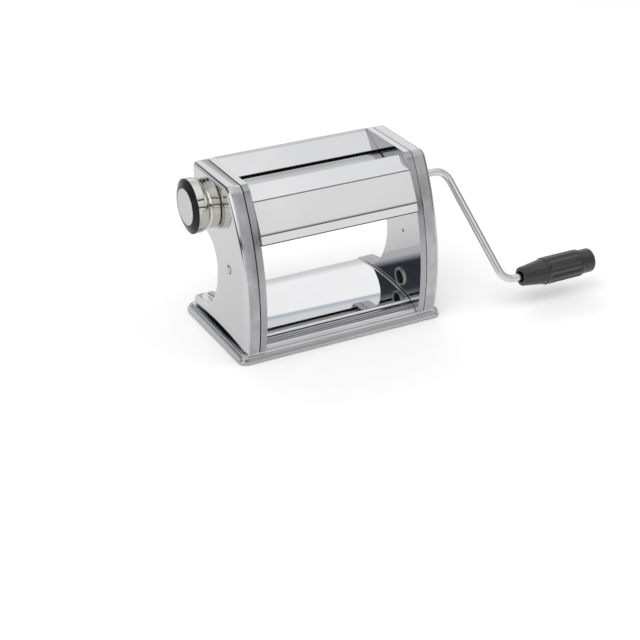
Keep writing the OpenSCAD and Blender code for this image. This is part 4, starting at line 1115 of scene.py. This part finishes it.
def fastener_tree():
    """A tree that puts a head and a shank on every point of a mesh."""
    tree = bpy.data.node_groups.new("fasteners", "GeometryNodeTree")
    node = tree.nodes.new
    link = tree.links.new

    def add_input(name, kind, value=None):
        socket = tree.interface.new_socket(name, in_out="INPUT", socket_type="NodeSocket" + kind)
        if value is not None:
            socket.default_value = value

    add_input("Places", "Geometry")
    for name, value in head_sizes.items():
        add_input(name, "Float", value)
    add_input("Sides", "Int", 48)
    add_input("Finish", "Material")
    tree.interface.new_socket("Fasteners", in_out="OUTPUT", socket_type="NodeSocketGeometry")
    given = node("NodeGroupInput").outputs

    head = node("GeometryNodeMeshCone")
    link(given["Sides"], head.inputs["Vertices"])
    link(given["Head radius"], head.inputs["Radius Bottom"])
    link(given["Top radius"], head.inputs["Radius Top"])
    link(given["Head height"], head.inputs["Depth"])

    shank = node("GeometryNodeMeshCylinder")
    below = node("ShaderNodeCombineXYZ")
    lowered = node("GeometryNodeTransform")
    link(given["Shank radius"], shank.inputs["Radius"])
    link(given["Shank length"], shank.inputs["Depth"])
    link(computed(tree, "MULTIPLY", given["Shank length"], half_down), below.inputs["Z"])
    link(shank.outputs["Mesh"], lowered.inputs["Geometry"])
    link(below.outputs["Vector"], lowered.inputs["Translation"])

    both = node("GeometryNodeJoinGeometry")
    link(head.outputs["Mesh"], both.inputs["Geometry"])
    link(lowered.outputs["Geometry"], both.inputs["Geometry"])

    facing = node("GeometryNodeInputNamedAttribute")
    facing.data_type = "FLOAT_VECTOR"
    facing.inputs["Name"].default_value = "facing"
    align = node("FunctionNodeAlignRotationToVector")
    align.axis = "Z"
    copies = node("GeometryNodeInstanceOnPoints")
    link(facing.outputs["Attribute"], align.inputs["Vector"])
    link(given["Places"], copies.inputs["Points"])
    link(both.outputs["Geometry"], copies.inputs["Instance"])
    link(align.outputs["Rotation"], copies.inputs["Rotation"])

    real = node("GeometryNodeRealizeInstances")
    finish = node("GeometryNodeSetMaterial")
    output = node("NodeGroupOutput")
    link(copies.outputs["Instances"], real.inputs["Geometry"])
    link(real.outputs["Geometry"], finish.inputs["Geometry"])
    link(given["Finish"], finish.inputs["Material"])
    link(finish.outputs["Geometry"], output.inputs["Fasteners"])
    return tree


fasteners = fastener_tree()
print("fastener tree:", len(fasteners.nodes), "nodes")


# %% Fastening
def fasten(name, places, sizes, sides, material, slot, *nodes, width):
    """Places are (point, facing) pairs: a head starts at its point and rises along its facing."""
    mesh = bpy.data.meshes.new(name)
    mesh.from_pydata([Vector(point) * MM for point, _ in places], [], [])
    facing = mesh.attributes.new("facing", "FLOAT_VECTOR", "POINT")
    for item, (_, way) in zip(facing.data, places):
        item.vector = way
    obj = new_object(name, mesh)
    copies = obj.modifiers.new("fasteners", "NODES")
    copies.node_group = fasteners
    values = {"Sides": sides, "Finish": material}
    values.update(zip(head_sizes, (size * MM for size in sizes)))
    for item in fasteners.interface.items_tree:
        if item.in_out == "INPUT" and item.name in values:
            copies[item.identifier] = values[item.name]
    evaluated(obj)
    spent = obj.data.attributes.get("facing")
    if spent:
        obj.data.attributes.remove(spent)
    print(name + ":", len(places))
    return place(soften(obj, width, 3, 30), material, "frame", slot, *nodes)


feet_low, feet_high = box_mm("base_feet")
rubber_r = 6.5
foot_places = [((x, y, feet_high.z), (0, 0, -1))
               for x in (feet_low.x + rubber_r, feet_high.x - rubber_r)
               for y in (feet_low.y + rubber_r, feet_high.y - rubber_r)]
foot_sizes = (rubber_r, rubber_r - 0.5, feet_high.z, 4.0, 1.0)
fasten("rubber_feet", foot_places, foot_sizes, 64, rubber, "rubber", "base_feet", width=0.6)

rivet_yz = [(fold.x - 1.4, fold.y - 12.6), (hem.x + 8.2, hem.y + 7.3), (wall_y - 3.7, 130.0),
            (wall_y - 3.7, 122.0)]
rivet_x = hood_half - flange_t
rivet_places = [((side * rivet_x, y, z), (-side, 0, 0)) for side in (-1, 1) for y, z in rivet_yz]
rivet_sizes = (2.6, 1.7, 1.0, 1.5, 3.2)
fasten("flange_rivets", rivet_places, rivet_sizes, 32, zinc_steel, "zinc_steel", "hood_rivets",
       width=0.3)

# %% [markdown]
# ## Cover screws and tie rods
# One screw holds each cover, halfway up. Its head is a low dome, made by a turned profile, and a
# thin black ring round it is painted shadow, where a round recess would shade the head. Two tie
# rods hold the sides apart behind the hoods' sheet.
# Each is one turned bar whose ends are stepped down to go through the frame plates.

# %% Cover screws and tie rods
screw_low, screw_high = box_mm("cover_screws")
screw_axis = (screw_low + screw_high) / 2
screw_shank_r, screw_depth = 1.5, 6
head_line = [(face_x - screw_depth, 0), (face_x - screw_depth, screw_shank_r),
             (face_x, screw_shank_r), (face_x, 3.2), (face_x + 0.35, 3.15), (face_x + 0.8, 2.8),
             (face_x + 1.1, 2.1), (face_x + 1.2, 1.3), (face_x + 1.0, 1.0), (face_x + 0.3, 0.7),
             (face_x + 0.3, 0)]
right_screw = turned("right_cover_screw", screw_axis, head_line, 64, sharp=60)
left_screw = mirrored(right_screw, "left_cover_screw")
for screw in (right_screw, left_screw):
    place(screw, zinc_steel, "frame", "zinc_steel", "cover_screws")
# Painted shadow: a thin black ring on the cover's face, where a recess would shade the screw head.
shadow_ring_line = [(face_x, 3.25), (face_x + 0.12, 3.3), (face_x + 0.12, 4.1), (face_x, 4.2)]
painted_shadow_ring = turned("right_screw_painted_shadow", screw_axis, shadow_ring_line, 64, closed=True)
for ring in (painted_shadow_ring, mirrored(painted_shadow_ring, "left_screw_painted_shadow")):
    place(ring, satin_black, "frame", "zinc_steel")

rod_end = box_mm("tie_rods")[1].x
tie_r, tie_end_r, tie_chamfer = 3.0, 2.5, 0.4
for name, y, z in (("front_tie_rod", -41.5, 118.5), ("rear_tie_rod", 35.8, 144.0)):
    ends = [(rod_end, 0), (rod_end, tie_end_r - tie_chamfer), (rod_end - tie_chamfer, tie_end_r),
            (web_x, tie_end_r), (web_x, tie_r)]
    line = [(-x, r) for x, r in ends] + ends[::-1]
    rod = turned(name, Vector((0, y, z)), line, 48, sharp=40)
    place(rod, zinc_steel, "frame", "zinc_steel", "tie_rods")
print("cover screw at y %.1f, z %.1f" % (screw_axis.y, screw_axis.z))
print("tie rods: %.1f mm long" % (2 * rod_end))

# %% [markdown]
# ## The solids that stay
# Gears, bushes, carriages, rails and the adjuster's inner parts already have the right shape, and
# most of them hide behind the covers. They keep their own meshes and only get a finish.

# %% Finish the solids that stay
kept_finish = {"zinc_steel": zinc_steel, "bronze": bronze, "dark_steel": dark_steel,
               "plate_steel": rim_steel, "rubber": rubber, "nylon": nylon,
               "roller_steel": roller_steel}
slot_of = {part["node"]: part["material_slot"] for part in record["subparts"]}
kept = []
for node_name, solid in frame["nodes"].items():
    if slot_of[node_name] in kept_finish and not solid.hide_render:
        for material_slot in solid.material_slots:
            material_slot.material = kept_finish[slot_of[node_name]]
        kept.append(node_name)
print("solids that stay:", ", ".join(kept))
